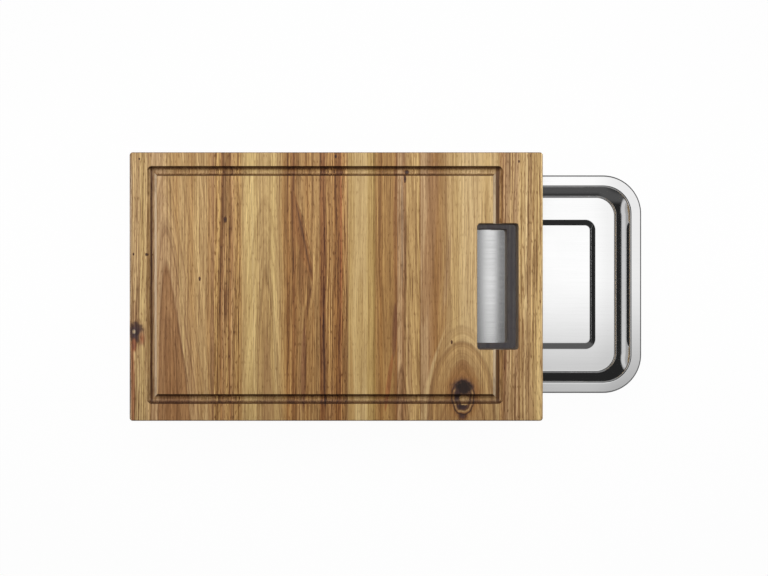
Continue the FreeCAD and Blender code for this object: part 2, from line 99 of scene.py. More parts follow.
class Term:
    """A number put out by a node, on which Python's arithmetic builds Math nodes."""

    __add__, __radd__ = operator("ADD"), operator("ADD", swapped=True)
    __sub__, __rsub__ = operator("SUBTRACT"), operator("SUBTRACT", swapped=True)
    __mul__, __rmul__ = operator("MULTIPLY"), operator("MULTIPLY", swapped=True)
    __truediv__, __pow__ = operator("DIVIDE"), operator("POWER")
    least, most = operator("MINIMUM"), operator("MAXIMUM")

    def __init__(self, graph: Graph, socket: bpy.types.NodeSocket) -> None:
        """Keep the socket and the graph that it belongs to."""
        self.graph = graph
        self.socket = socket

    def __neg__(self) -> Term:
        """Negative."""
        return self * -1.0

    def root(self) -> Term:
        """Square root."""
        return self.graph.math("SQRT", self)

    def size(self) -> Term:
        """Absolute value."""
        return self.graph.math("ABSOLUTE", self)

    def clamped(self) -> Term:
        """The number kept from 0 to 1."""
        return self.least(1.0).most(0.0)

    def rise(self, low: Number, high: Number) -> Term:
        """Climb smoothly from 0 to 1.

        Args:
            low: The value up to which the climb stays at 0.
            high: The value from which it stays at 1.

        Returns:
            The climb.
        """
        node = self.graph.add("ShaderNodeMapRange", {"Value": self, "From Min": low, "From Max": high},
                              interpolation_type="SMOOTHSTEP")
        return Term(self.graph, node.outputs["Result"])


Number = Union[Term, float]


class Graph:
    """One node tree, shader or geometry, with short calls that add a node and join it up."""

    VECTORS = ("Position", "Slope", "Apex", "Start", "End", "Middle", "Size")

    def __init__(self, tree: bpy.types.NodeTree) -> None:
        """Work on a tree."""
        self.tree = tree

    @classmethod
    def cleared(cls, holder: Union[bpy.types.Material, bpy.types.World]) -> Graph:
        """Start afresh on the tree of a material or a world.

        Args:
            holder: What holds the tree.

        Returns:
            The graph of the empty tree.
        """
        holder.use_nodes = True
        holder.node_tree.nodes.clear()
        return cls(holder.node_tree)

    @classmethod
    def effect(cls, name: str, inputs: str, outputs: str) -> Graph:
        """Make a shader group; Color is a colour, those in VECTORS are vectors, the rest are numbers.

        Args:
            name: The group's name.
            inputs: Names of its inputs, with commas between them.
            outputs: Names of its outputs, with commas between them.

        Returns:
            The graph of the new group.
        """
        defaults = {"Color": (0.5, 0.4, 0.3, 1.0), **dict.fromkeys(cls.VECTORS, (0.0, 0.0, 0.0))}
        kinds = {"Color": "Color", **dict.fromkeys(cls.VECTORS, "Vector")}
        return cls.group(name, "ShaderNodeTree",
                         {socket: defaults.get(socket, 0.0) for socket in inputs.split(", ")},
                         {socket: kinds.get(socket, "Float") for socket in outputs.split(", ")})

    @classmethod
    def group(cls, name: str, kind: str, inputs: dict[str, Any], outputs: dict[str, str]) -> Graph:
        """Make a node group with named sockets.

        Args:
            name: The group's name.
            kind: ShaderNodeTree or GeometryNodeTree.
            inputs: Default of each input by name; the kind of socket follows the default.
            outputs: Kind of each output by name, such as Float.

        Returns:
            The graph of the new group, with its input and output nodes in entry and result.
        """
        graph = cls(bpy.data.node_groups.new(name, kind))
        for socket_name, default in inputs.items():
            socket = graph.tree.interface.new_socket(
                name=socket_name, in_out="INPUT", socket_type=f"NodeSocket{cls.socket_kind(default)}")
            socket.default_value = default
        for socket_name, socket_kind in outputs.items():
            graph.tree.interface.new_socket(name=socket_name, in_out="OUTPUT",
                                            socket_type=f"NodeSocket{socket_kind}")
        graph.entry = graph.tree.nodes.new("NodeGroupInput")
        graph.result = graph.tree.nodes.new("NodeGroupOutput")
        return graph

    @staticmethod
    def socket_kind(default: Any) -> str:
        """Kind of socket that suits a default: a number, a vector or a colour."""
        return "Float" if isinstance(default, float) else "Vector" if len(default) == 3 else "Color"

    def given(self, name: str) -> Term:
        """The group's input of that name."""
        return Term(self, self.entry.outputs[name])

    def all_given(self, names: str) -> list[Term]:
        """The group's inputs of those names, which have commas between them."""
        return [self.given(name) for name in names.split(", ")]

    def give(self, **values: Number) -> None:
        """Join values to the group's outputs; a space in a name is written as an underscore."""
        for name, value in values.items():
            self.feed(self.result.inputs[name.replace("_", " ")], value)

    def feed(self, socket: bpy.types.NodeSocket, value: Any) -> None:
        """Link a socket to a term or another socket, or set its value.

        Args:
            socket: The socket to feed.
            value: The term, socket or plain value.
        """
        if isinstance(value, Term):
            value = value.socket
        if isinstance(value, bpy.types.NodeSocket):
            self.tree.links.new(value, socket)
        else:
            socket.default_value = value

    def add(self, kind: str, inputs: dict[Union[str, int], Any] | None = None,
            **settings: Any) -> bpy.types.Node:
        """Add a node.

        Args:
            kind: The node's type name.
            inputs: Values or links for its inputs, by name or number.
            settings: The node's own properties.

        Returns:
            The new node.
        """
        node = self.tree.nodes.new(kind)
        for name, value in settings.items():
            setattr(node, name, value)
        for key, value in (inputs or {}).items():
            self.feed(node.inputs[key], value)
        return node

    def place(self, group: Graph, **inputs: Any) -> bpy.types.Node:
        """Place a group in this tree.

        Args:
            group: The group's own graph.
            inputs: Values or links by name; a space in a name is written as an underscore.

        Returns:
            The group's node.
        """
        node = self.add(group.tree.bl_idname.replace("NodeTree", "NodeGroup"), node_tree=group.tree)
        for name, value in inputs.items():
            self.feed(node.inputs[name.replace("_", " ")], value)
        return node

    def math(self, operation: str, *values: Number) -> Term:
        """Add a Math node."""
        return Term(self, self.add("ShaderNodeMath", dict(enumerate(values)), operation=operation).outputs[0])

    def point(self, x: Number, y: Number, z: Number = 0.0) -> Term:
        """Make a vector of three numbers."""
        return Term(self, self.add("ShaderNodeCombineXYZ", {"X": x, "Y": y, "Z": z}).outputs[0])

    def ray(self, kind: str) -> Term:
        """1 where the ray is of that kind, else 0."""
        return Term(self, self.add("ShaderNodeLightPath").outputs[kind])

    def parts(self, vector: Any) -> tuple[Term, Term, Term]:
        """Split a vector into its three numbers."""
        node = self.add("ShaderNodeSeparateXYZ", {0: vector})
        return tuple(Term(self, output) for output in node.outputs)

    def noise(self, vector: Any, stretch: tuple[float, float, float], seed: Number = 0.0,
              detail: float = 2.0, roughness: float = 0.5) -> Term:
        """Noise on a stretched vector.

        Args:
            vector: Where to read the noise.
            stretch: Features for each unit of length along each axis.
            seed: Another seed gives another pattern.
            detail: How many finer layers are added.
            roughness: How strong the finer layers are.

        Returns:
            A number from 0 to 1 that stays near 0.5.
        """
        spread = self.add("ShaderNodeVectorMath", {0: vector, 1: stretch}, operation="MULTIPLY")
        node = self.add("ShaderNodeTexNoise", {"Vector": spread.outputs[0], "W": seed, "Scale": 1.0,
                                               "Detail": detail, "Roughness": roughness},
                        noise_dimensions="4D")
        return Term(self, node.outputs[0])

    def mix(self, share: Number, base: Any, layer: Any, blend: str = "MIX") -> Term:
        """Lay one colour over another by a share."""
        node = self.add("ShaderNodeMix", {0: share, 6: base, 7: layer}, data_type="RGBA", blend_type=blend)
        return Term(self, node.outputs[2])

    def blend(self, share: Number, base: Number, layer: Number) -> Term:
        """Go from one number to another by a share."""
        return Term(self, self.add("ShaderNodeMix", {0: share, 2: base, 3: layer}).outputs[0])

    def surface(self, inputs: dict[str, Any]) -> None:
        """Finish a material with a Principled shader of these inputs."""
        shader = self.add("ShaderNodeBsdfPrincipled", inputs)
        self.add("ShaderNodeOutputMaterial", {"Surface": shader.outputs[0]})

    def ramp(self, value: Number, stops: list[tuple[float, Tone]]) -> Term:
        """Colour a number by a ramp.

        Args:
            value: The number, 0 to 1 along the ramp.
            stops: Place and tone of each stop, in order.

        Returns:
            The colour.
        """
        node = self.add("ShaderNodeValToRGB", {0: value})
        elements = node.color_ramp.elements
        elements.remove(elements[1])
        elements[0].position, elements[0].color = stops[0][0], stops[0][1].paint
        for position, tone in stops[1:]:
            elements.new(position).color = tone.paint
        return Term(self, node.outputs[0])


# ---------------------------------------------------------------------------------- wood: the words

class Tone(Enum):
    """Tones of oiled acacia, as seen on a screen."""

    CREAM = (205, 179, 132)
    STRAW = (193, 164, 112)
    LEMON = (188, 159, 105)
    OLIVE = (156, 125, 70)
    SAND = (181, 150, 103)
    SHELL = (183, 152, 113)
    HONEY = (170, 134, 85)
    AMBER = (158, 117, 68)
    CLAY = (160, 123, 83)
    RUSSET = (144, 102, 61)
    BRICK = (148, 88, 52)
    UMBER = (114, 75, 42)
    WINE = (114, 70, 50)
    COCOA = (84, 54, 36)
    PLUM = (70, 48, 48)
    PITCH = (40, 26, 22)
    # Painted shade: the grey-brown laid on the opening's walls and the underside round it.
    SCORCH = (104, 94, 84)
    ASH = (148, 131, 110)

    @property
    def paint(self) -> tuple[float, float, float, float]:
        """The tone as a linear colour."""
        return linear(self.value)


class Grain(Enum):
    """Which way the fibres of a piece run."""

    ACROSS_BOARD = "front to back, as in the staves"
    ALONG_BOARD = "from end to end, as in the side rails"


@dataclass(frozen=True)
class Band:
    """A tone at one place: across a stave, or out from the middle of a knot."""

    at: float
    tone: Tone


@dataclass(frozen=True)
class Rings:
    """How the growth rings meet the face: a nest of arches that opens towards the front.

    Attributes:
        heart: x of the arches' axis.
        depth: How blunt the arches' tips are.
        rise: How fast an arch opens, across per along.
        pitch: Width of one ring.
    """

    heart: float
    depth: float
    rise: float
    pitch: float = 2.2


@dataclass(frozen=True)
class Streak:
    """A tapering patch of one tone that follows the grain.

    Attributes:
        start: Where it begins.
        end: Where it ends.
        width: Its full width where it is widest.
        tone: Its tone.
        strength: How far it covers the wood.
        opening: How it widens from its start: 0 at once, 0.5 round, 1 pointed.
        closing: How it narrows to its end, in the same way.
        bow: How far its middle stands off to the right.
        fade: Width over which its edges fade, or one width for its left edge and one for its right.
    """

    start: Point
    end: Point
    width: float
    tone: Tone
    strength: float = 0.8
    opening: float = 0.5
    closing: float = 0.5
    bow: float = 0.0
    fade: Union[float, Point] = 1.5

    @property
    def fades(self) -> Point:
        """Width over which the left edge fades, and the right one."""
        return self.fade if isinstance(self.fade, tuple) else (self.fade, self.fade)

    @property
    def untapered(self) -> float:
        """The width that the two tapers cut down to the full width.

        Returns:
            That width, in millimetres.
        """
        whole = self.opening + self.closing
        if not whole:
            return self.width
        peak = (self.opening / whole) ** self.opening * (self.closing / whole) ** self.closing
        return self.width / peak


@dataclass(frozen=True)
class Arches:
    """A nest of arches inside one clear arch, as where a board is cut across the growth rings' cones.

    Attributes:
        apex: Top of the outermost arch.
        depth: How blunt the arches' tips are.
        rise: How fast an arch opens, across per along.
        tone: Tone inside.
        strength: How far the tone covers the wood.
        lean: How far the axis leans to the right, across per along.
        pitch: Width of one ring.
        edge: Width over which the outermost arch fades in.
        rim: How dark the line along the outermost arch is.
        reach: Length over which the arches stop opening.
    """

    apex: Point
    depth: float
    rise: float
    tone: Tone
    strength: float = 0.7
    lean: float = 0.0
    pitch: float = 2.2
    edge: float = 0.5
    rim: float = 0.4
    reach: float = 1000.0


@dataclass(frozen=True)
class Knot:
    """A knot: tones out from its middle.

    Attributes:
        at: Its middle.
        across: Half its width.
        along: Half its length.
        tones: Tones outwards; 1 is its edge.
        ragged: How uneven its outline is.
        fade: Share of its radius over which its edge fades.
    """

    at: Point
    across: float
    along: float
    tones: tuple[Band, ...]
    ragged: float = 0.35
    fade: float = 0.25


# ------------------------------------------------------------------------------- wood: the effects

class WoodEffects:
    """The node groups that every wooden finish shares."""

    def __init__(self) -> None:
        """Build each group once."""
        self.sway = self._sway()
        self.rings = self._rings()
        self.arches = self._arches()
        self.streak = self._streak()
        self.knot = self._knot()
        self.grain = self._grain()
        self.groove = self._groove()
        self.surface = self._surface()

    @staticmethod
    def _sway() -> Graph:
        """How far the fibres wander sideways, and how they fray an edge, in millimetres.

        Returns:
            The group.
        """
        graph = Graph.effect("fibre_sway", "Position, Wander, Fray, Seed", "Position")
        place, wander, fray, seed = graph.all_given("Position, Wander, Fray, Seed")
        slow = graph.noise(place, (0.022, 0.0075, 0.022), seed, detail=1.0)
        quick = graph.noise(place, (0.9, 0.045, 0.9), seed, detail=2.0, roughness=0.6)
        x, y, z = graph.parts(place)
        shift = (slow - 0.5) * wander * 4 + (quick - 0.5) * fray * 4
        graph.give(Position=graph.point(x + shift, y, z))
        return graph

    @staticmethod
    def _rings() -> Graph:
        """Count of growth rings from the heart: cones about an axis that lies along the fibres.

        Returns:
            The group.
        """
        graph = Graph.effect("growth_rings", "Position, Heart, Depth, Rise, Pitch", "Rings")
        place, heart, depth, rise, pitch = graph.all_given("Position, Heart, Depth, Rise, Pitch")
        x, y, z = graph.parts(place)
        side, below = x - heart, depth - z
        graph.give(Rings=((side * side + below * below).root() + y * rise) / pitch)
        return graph

    @staticmethod
    def _arches() -> Graph:
        """A nest of arches below an apex: its inside, its dark rim, and its own count of rings.

        Returns:
            The group.
        """
        graph = Graph.effect("arches", "Position, Apex, Depth, Rise, Lean, Pitch, Edge, Reach",
                             "Inside, Rim, Rings")
        x, y, _ = graph.parts(graph.given("Position"))
        apex_x, apex_y, _ = graph.parts(graph.given("Apex"))
        depth, rise, lean, pitch, edge, reach = graph.all_given("Depth, Rise, Lean, Pitch, Edge, Reach")
        below = apex_y - y
        side = x - apex_x - below * lean
        opened = (1.0 - graph.math("EXPONENT", -below / reach)) * reach
        inwards = opened * rise + depth - (side * side + depth * depth).root()
        graph.give(Inside=inwards.rise(0.0, edge), Rings=-inwards / pitch,
                   Rim=1.0 - (inwards - edge * 0.6).size().rise(edge * 0.4, edge * 1.6))
        return graph

    @staticmethod
    def _streak() -> Graph:
        """Share that a streak covers, from its two ends, its width and how it tapers.

        Returns:
            The group.
        """
        numbers = "Width, Opening, Closing, Bow, Left, Right, Strength"
        graph = Graph.effect("streak", f"Position, Start, End, {numbers}", "Cover")
        width, opening, closing, bow, left, right, strength = graph.all_given(numbers)
        x, y, _ = graph.parts(graph.given("Position"))
        start_x, start_y, _ = graph.parts(graph.given("Start"))
        end_x, end_y, _ = graph.parts(graph.given("End"))
        run = ((y - start_y) / (end_y - start_y)).clamped()
        rest = 1.0 - run
        middle = start_x + (end_x - start_x) * run + bow * 4 * run * rest
        half = width / 2 * run ** opening * rest ** closing
        from_left, from_right = (x - middle + half).rise(0.0, left), (middle + half - x).rise(0.0, right)
        graph.give(Cover=from_left * from_right * strength)
        return graph

    @staticmethod
    def _knot() -> Graph:
        """Distance from a knot's middle, in radii, with an uneven outline.

        Returns:
            The group.
        """
        graph = Graph.effect("knot", "Position, Middle, Size, Ragged", "Radii")
        place, middle, size, ragged = graph.all_given("Position, Middle, Size, Ragged")
        away = graph.add("ShaderNodeVectorMath", {0: place, 1: middle}, operation="SUBTRACT")
        share = graph.add("ShaderNodeVectorMath", {0: away.outputs[0], 1: size}, operation="DIVIDE")
        x, y, _ = graph.parts(share.outputs[0])
        radii = (x * x + y * y).root()
        uneven = graph.noise(share.outputs[0], (1.7, 1.7, 0.0), detail=3.0, roughness=0.6)
        graph.give(Radii=radii + (uneven - 0.5) * ragged * 2)
        return graph

    @staticmethod
    def _grain() -> Graph:
        """Ring lines, fibres, thin dark veins and pores, each from 0 to 1.

        Returns:
            The group.
        """
        graph = Graph.effect("grain", "Position, Rings, Seed", "Lines, Fibres, Veins, Pores, Clouds")
        place, seed = graph.given("Position"), graph.given("Seed")
        rings = graph.point(graph.given("Rings"), 0.0, 0.0)
        wide = graph.noise(rings, (0.35, 0.0, 0.0), seed, detail=1.0)
        fine = graph.noise(rings, (1.0, 0.0, 0.0), seed + 7.0, detail=3.0, roughness=0.65)
        long = graph.noise(place, (0.62, 0.004, 0.62), seed, detail=1.0)
        short = graph.noise(place, (1.2, 0.022, 1.2), seed + 1.0, detail=0.0)
        flecks = graph.noise(place, (1.7, 0.10, 1.7), seed + 6.0, detail=0.0)
        run = graph.noise(place, (0.5, 0.0035, 0.5), seed + 2.0, detail=1.0)
        gaps = graph.noise(place, (0.6, 0.03, 0.6), seed + 4.0, detail=1.0)
        graph.give(
            Lines=(wide * 0.45 + fine * 0.55).rise(0.36, 0.64),
            Fibres=(long * 0.47 + short * 0.35 + flecks * 0.18).rise(0.37, 0.63),
            Veins=(1.0 - (run - 0.5).size().rise(0.008, 0.04)) * gaps.rise(0.38, 0.55),
            Pores=graph.noise(place, (1.1, 0.17, 1.1), seed + 3.0, detail=0.0).rise(0.60, 0.72),
            Clouds=graph.noise(place, (0.03, 0.012, 0.03), seed + 5.0, detail=2.0))
        return graph

    @staticmethod
    def _groove() -> Graph:
        """Painted shade on the flanks of the groove's front and back legs, over a mottle of soil, and a
        painted highlight on the inner flanks of its end legs.

        Returns:
            The group.
        """
        graph = Graph.effect("groove_shade_and_highlight", "Position, Slope, Half Length, Half Width", "Soil, Rubbed")
        place, slope, half_length, half_width = graph.all_given("Position, Slope, Half Length, Half Width")
        x, y, z = graph.parts(place)
        along, across, _ = graph.parts(slope)
        x = x - half_length
        from_side, from_end = (half_width - y.size()).rise(1.0, 4.0), (half_length - x.size()).rise(1.0, 4.0)
        routed = (-z).rise(0.1, 0.6) * (1.0 - (-z).rise(6.0, 8.0)) * from_side * from_end
        outwards = along * graph.math("SIGN", x)
        cross_legs = (y.size() / half_width).rise(0.66, 0.7)
        long_legs = (x.size() / half_length).rise(0.7, 0.74)
        mottle = graph.noise(place, (0.2, 0.2, 0.2), detail=2.0).rise(0.38, 0.62)
        flanks = across.size().rise(0.15, 0.65) * 0.85
        # Painted shade: the front and back legs' flanks are darkened, over a faint mottle of soil. Painted
        # highlight: the end legs' inner flanks, which face outwards.
        graph.give(Soil=routed * cross_legs * flanks.most(mottle * 0.26 + 0.14),
                   Rubbed=routed * outwards.rise(0.1, 0.5) * long_legs)
        return graph

    @staticmethod
    def _surface() -> Graph:
        """Colour, roughness and height of oiled wood, from its plain tone and its grain, with painted shade
        and a painted highlight in the groove.

        Returns:
            The group.
        """
        masks = "Lines, Fibres, Veins, Pores, Clouds, Contrast, End Grain, Soil, Rubbed"
        graph = Graph.effect("wood_surface", f"Color, {masks}", "Color, Roughness, Sheen, Height")
        lines, fibres, veins, pores, clouds, contrast, end_grain, soil, flank_highlight = graph.all_given(masks)
        color = graph.given("Color")
        for mask in (lines, fibres):
            shade = ((mask - 0.5) * contrast * 0.75 + 0.5).clamped()
            figure = graph.mix(shade, (1.36, 1.41, 1.44, 1.0), (0.57, 0.465, 0.355, 1.0))
            color = graph.mix(1.0, color, figure, "MULTIPLY")
        for share, shadow in (
                (veins * contrast * 0.7, (0.40, 0.28, 0.18, 1.0)),
                (pores * contrast * 0.55, (0.40, 0.28, 0.18, 1.0)),
                ((clouds - 0.42).clamped() * 1.6, (0.86, 0.80, 0.74, 1.0)),
                (end_grain * 0.85, (0.36, 0.27, 0.20, 1.0))):
            color = graph.mix(share, color, shadow, "MULTIPLY")
        # Painted highlight on the groove's outward-facing inner flanks, then painted shade low in the groove,
        # partly soil.
        color = graph.mix(flank_highlight * 0.6, color, (0.74, 0.61, 0.43, 1.0))
        color = graph.mix(soil, color, (0.24, 0.15, 0.10, 1.0), "MULTIPLY")
        graph.give(Color=color, Roughness=0.46 + pores * 0.2 + fibres * 0.1 + end_grain * 0.12,
                   Sheen=flank_highlight * 0.8, Height=fibres * -0.4 + pores * -0.8 + lines * -0.2)
        return graph


@dataclass(frozen=True)
class Cutout:
    """An opening cut through the board.

    Attributes:
        at: Middle of the opening.
        half_width: Half of its size along x.
        half_length: Half of its size along y.
        shade_spread: How far the painted shade on the underside reaches beyond it, along x and along y.
        underside: Depth at which the painted shade on the underside begins, and depth at which it is full.
    """

    at: Point
    half_width: float
    half_length: float
    shade_spread: Point = (20.0, 46.0)
    underside: Point = (19.3, 19.9)

    def cover(self, x: Term, y: Term, height: Term) -> Term:
        """How far a place is on the opening's walls or on the underside round it, where shade is painted.

        Args:
            x: x of the place.
            y: y of the place.
            height: Its height over the cutting surface.

        Returns:
            1 on the walls and the shaded underside, falling to 0 beside them and at the cutting surface.
        """
        across = self.half_width - (x - self.at[0]).size()
        along = self.half_length - (y - self.at[1]).size()
        walls = (across.least(along) + 0.4).rise(0.0, 0.2) * (-height).rise(0.4, 2.0)
        shade_spread = (across + self.shade_spread[0]).rise(0.0, 8.0) * (along + self.shade_spread[1]).rise(0.0, 12.0)
        return walls.most(shade_spread * (-height).rise(*self.underside))


@dataclass(frozen=True)
class WoodFinish:
    """Oiled acacia with its own figure.

    Attributes:
        bands: Tones across the piece.
        rings: Its growth rings.
        name: Name of the material.
        seed: Sets its noise apart from that of the other pieces.
        arches: Nests of arches, each inside the last.
        streaks: Streaks, laid one over the other.
        knots: Knots, laid over the streaks.
        wander: How far the fibres wander sideways.
        contrast: How strongly the ring lines show.
        grain: Which way the fibres run.
        edges: x of the piece's glued faces, which show as thin dark lines.
        soil: x and half width of dark lines low in the groove: painted shade on the flank turned from the
            light, with oil and dirt gathered there.
        tint: Red, green and blue of the oil on it.
        shade_and_scorch: The opening whose walls and the underside round it are greyed: painted shade where
            they lie under the board, with the cutter's scorch on the walls.
    """

    bands: tuple[Band, ...]
    rings: Rings
    name: str = ""
    seed: float = 0.0
    arches: tuple[Arches, ...] = ()
    streaks: tuple[Streak, ...] = ()
    knots: tuple[Knot, ...] = ()
    wander: float = 1.2
    contrast: float = 1.0
    grain: Grain = Grain.ACROSS_BOARD
    edges: tuple[float, ...] = ()
    soil: tuple[Point, ...] = ()
    tint: tuple[float, float, float] = (1.0, 1.0, 1.0)
    shade_and_scorch: Optional[Cutout] = None

    def material(self, effects: WoodEffects) -> bpy.types.Material:
        """Build the material.

        Args:
            effects: The shared node groups.

        Returns:
            The new material.
        """
        material = bpy.data.materials.new(self.name)
        graph = Graph.cleared(material)
        texture = graph.add("ShaderNodeTexCoord")
        bench, slope = self._bench(graph, texture)
        marked, flow = (graph.place(effects.sway, Position=bench, Wander=self.wander, Fray=fray,
                                    Seed=self.seed).outputs[0] for fray in (0.4, 0.06))
        rings = graph.place(effects.rings, Position=flow, Heart=self.rings.heart, Depth=self.rings.depth,
                            Rise=self.rings.rise, Pitch=self.rings.pitch).outputs[0]
        color, rings = self._paint_figure(graph, effects, (bench, marked, flow), rings)
        color = self._paint_glue(graph, bench, color)
        color = graph.mix(1.0, color, (*self.tint, 1.0), "MULTIPLY")
        end_grain = graph.parts(slope)[1].size().rise(0.25, 0.95)
        groove_shading = graph.place(effects.groove, Position=bench, Slope=slope, Half_Length=HALF_LENGTH,
                           Half_Width=HALF_WIDTH)
        soil = Term(graph, groove_shading.outputs["Soil"]) * 0.85
        plain_x, plain_y, height = graph.parts(bench)
        # Painted shade: dark lines low in the groove's end legs, where the flank lies in shade; oil and dirt
        # gather there too.
        for place, reach in self.soil:
            line = 1.0 - (plain_x - place).size().rise(reach * 0.5, reach)
            soil = soil.most(line * (-height).rise(1.6, 3.2) * 0.95)
        fine = graph.place(effects.grain, Position=flow, Rings=rings, Seed=self.seed)
        looks = graph.place(effects.surface, Color=color, Contrast=self.contrast, End_Grain=end_grain,
                            Soil=soil, Rubbed=groove_shading.outputs["Rubbed"],
                            **{output.name: output for output in fine.outputs})
        bump = graph.add("ShaderNodeBump", {"Strength": 0.25, "Distance": 0.0002,
                                            "Height": looks.outputs["Height"]})
        surface = looks.outputs["Color"]
        # Painted shade: the opening's walls and the underside round it are greyed, as they lie in shade under
        # the board; the walls also carry the cutter's scorch.
        if self.shade_and_scorch:
            shaded_opening = self.shade_and_scorch.cover(plain_x, plain_y, height)
            surface = graph.mix(shaded_opening * 0.9, surface, Tone.SCORCH.paint)
        graph.surface({"Base Color": surface, "Roughness": looks.outputs["Roughness"],
                       "Normal": bump.outputs[0], "Specular IOR Level": 0.35,
                       "Coat Weight": looks.outputs["Sheen"], "Coat Roughness": 0.3})
        return material

    def _paint_figure(self, graph: Graph, effects: WoodEffects, places: tuple[Term, Term, Term],
                      rings: Any) -> tuple[Term, Any]:
        """Lay the bands, the arches, the streaks and the knots one over the other.

        Args:
            graph: The material's graph.
            effects: The shared node groups.
            places: Bench marks of the point as they are, frayed, and flowing with the fibres.
            rings: Count of its growth rings.

        Returns:
            The wood's colour, and the count of rings with that of the arches in it.
        """
        bench, marked, flow = places
        x, _, _ = graph.parts(marked)
        low, high = self.bands[0].at, self.bands[-1].at
        across = (x - low) / (high - low)
        color = graph.ramp(across, [((band.at - low) / (high - low), band.tone) for band in self.bands])
        for nest in self.arches:
            node = graph.place(effects.arches, Position=flow, Apex=(*nest.apex, 0.0), Depth=nest.depth,
                               Rise=nest.rise, Lean=nest.lean, Pitch=nest.pitch, Edge=nest.edge,
                               Reach=nest.reach)
            inside = Term(graph, node.outputs["Inside"])
            rings = graph.blend(inside.rise(0.2, 0.3), rings, node.outputs["Rings"])
            color = graph.mix(inside * nest.strength, color, nest.tone.paint)
            color = graph.mix(Term(graph, node.outputs["Rim"]) * nest.rim, color, Tone.UMBER.paint)
        for streak in self.streaks:
            cover = graph.place(effects.streak, Position=marked, Start=(*streak.start, 0.0),
                                End=(*streak.end, 0.0), Width=streak.untapered, Opening=streak.opening,
                                Closing=streak.closing, Bow=streak.bow, Left=streak.fades[0],
                                Right=streak.fades[1], Strength=streak.strength).outputs[0]
            color = graph.mix(Term(graph, cover), color, streak.tone.paint)
        for knot in self.knots:
            radii = graph.place(effects.knot, Position=bench, Middle=(*knot.at, 0.0),
                                Size=(knot.across, knot.along, 1.0), Ragged=knot.ragged).outputs[0]
            color = self._paint_knot(graph, knot, Term(graph, radii), color)
        return color, rings

    def _bench(self, graph: Graph, texture: bpy.types.Node) -> tuple[Term, Term]:
        """Find the bench marks of a point and the way that its face looks, both with y along the fibres.

        Args:
            graph: The material's graph.
            texture: Its Texture Coordinate node.

        Returns:
            The marks in millimetres, and the normal.
        """
        low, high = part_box(STAVES[0])
        mapping = graph.add("ShaderNodeMapping",
                            {"Vector": texture.outputs["Object"],
                             "Location": (-low.x / MM, 0.0, -high.z / MM),
                             "Scale": (1 / MM, 1 / MM, 1 / MM)})
        x, y, z = graph.parts(mapping.outputs[0])
        if self.grain is Grain.ACROSS_BOARD:
            return graph.point(x, y, z), Term(graph, texture.outputs["Normal"])
        normal_x, normal_y, normal_z = graph.parts(texture.outputs["Normal"])
        return graph.point(y, x, z), graph.point(normal_y, normal_x, normal_z)

    @staticmethod
    def _paint_knot(graph: Graph, knot: Knot, radii: Term, color: Term) -> Term:
        """Lay a knot's tones over the wood.

        Args:
            graph: The material's graph.
            knot: The knot.
            radii: Distance from its middle.
            color: The wood without it.

        Returns:
            The wood with it.
        """
        tones = graph.ramp(radii, [(band.at, band.tone) for band in knot.tones])
        cover = 1.0 - radii.rise(1.0 - knot.fade / 2, 1.0 + knot.fade / 2)
        return graph.mix(cover, color, tones)

    def _paint_glue(self, graph: Graph, bench: Term, color: Term) -> Term:
        """Draw the thin dark lines where the piece is glued to its neighbours.

        Args:
            graph: The material's graph.
            bench: Bench marks of the point.
            color: The wood without them.

        Returns:
            The wood with them.
        """
        x, _, _ = graph.parts(bench)
        for edge in self.edges:
            line = 1.0 - (x - edge).size().rise(0.1, 0.7)
            color = graph.mix(line * 0.45, color, Tone.UMBER.paint)
        return color


# ------------------------------------------------------------------------------- the glued-up panel

def bands(text: str) -> tuple[Band, ...]:
    """Read tones and their places, written as in '0 pitch, 1 umber'."""
    return tuple(Band(float(at), Tone[tone.upper()]) for at, tone in map(str.split, text.split(", ")))
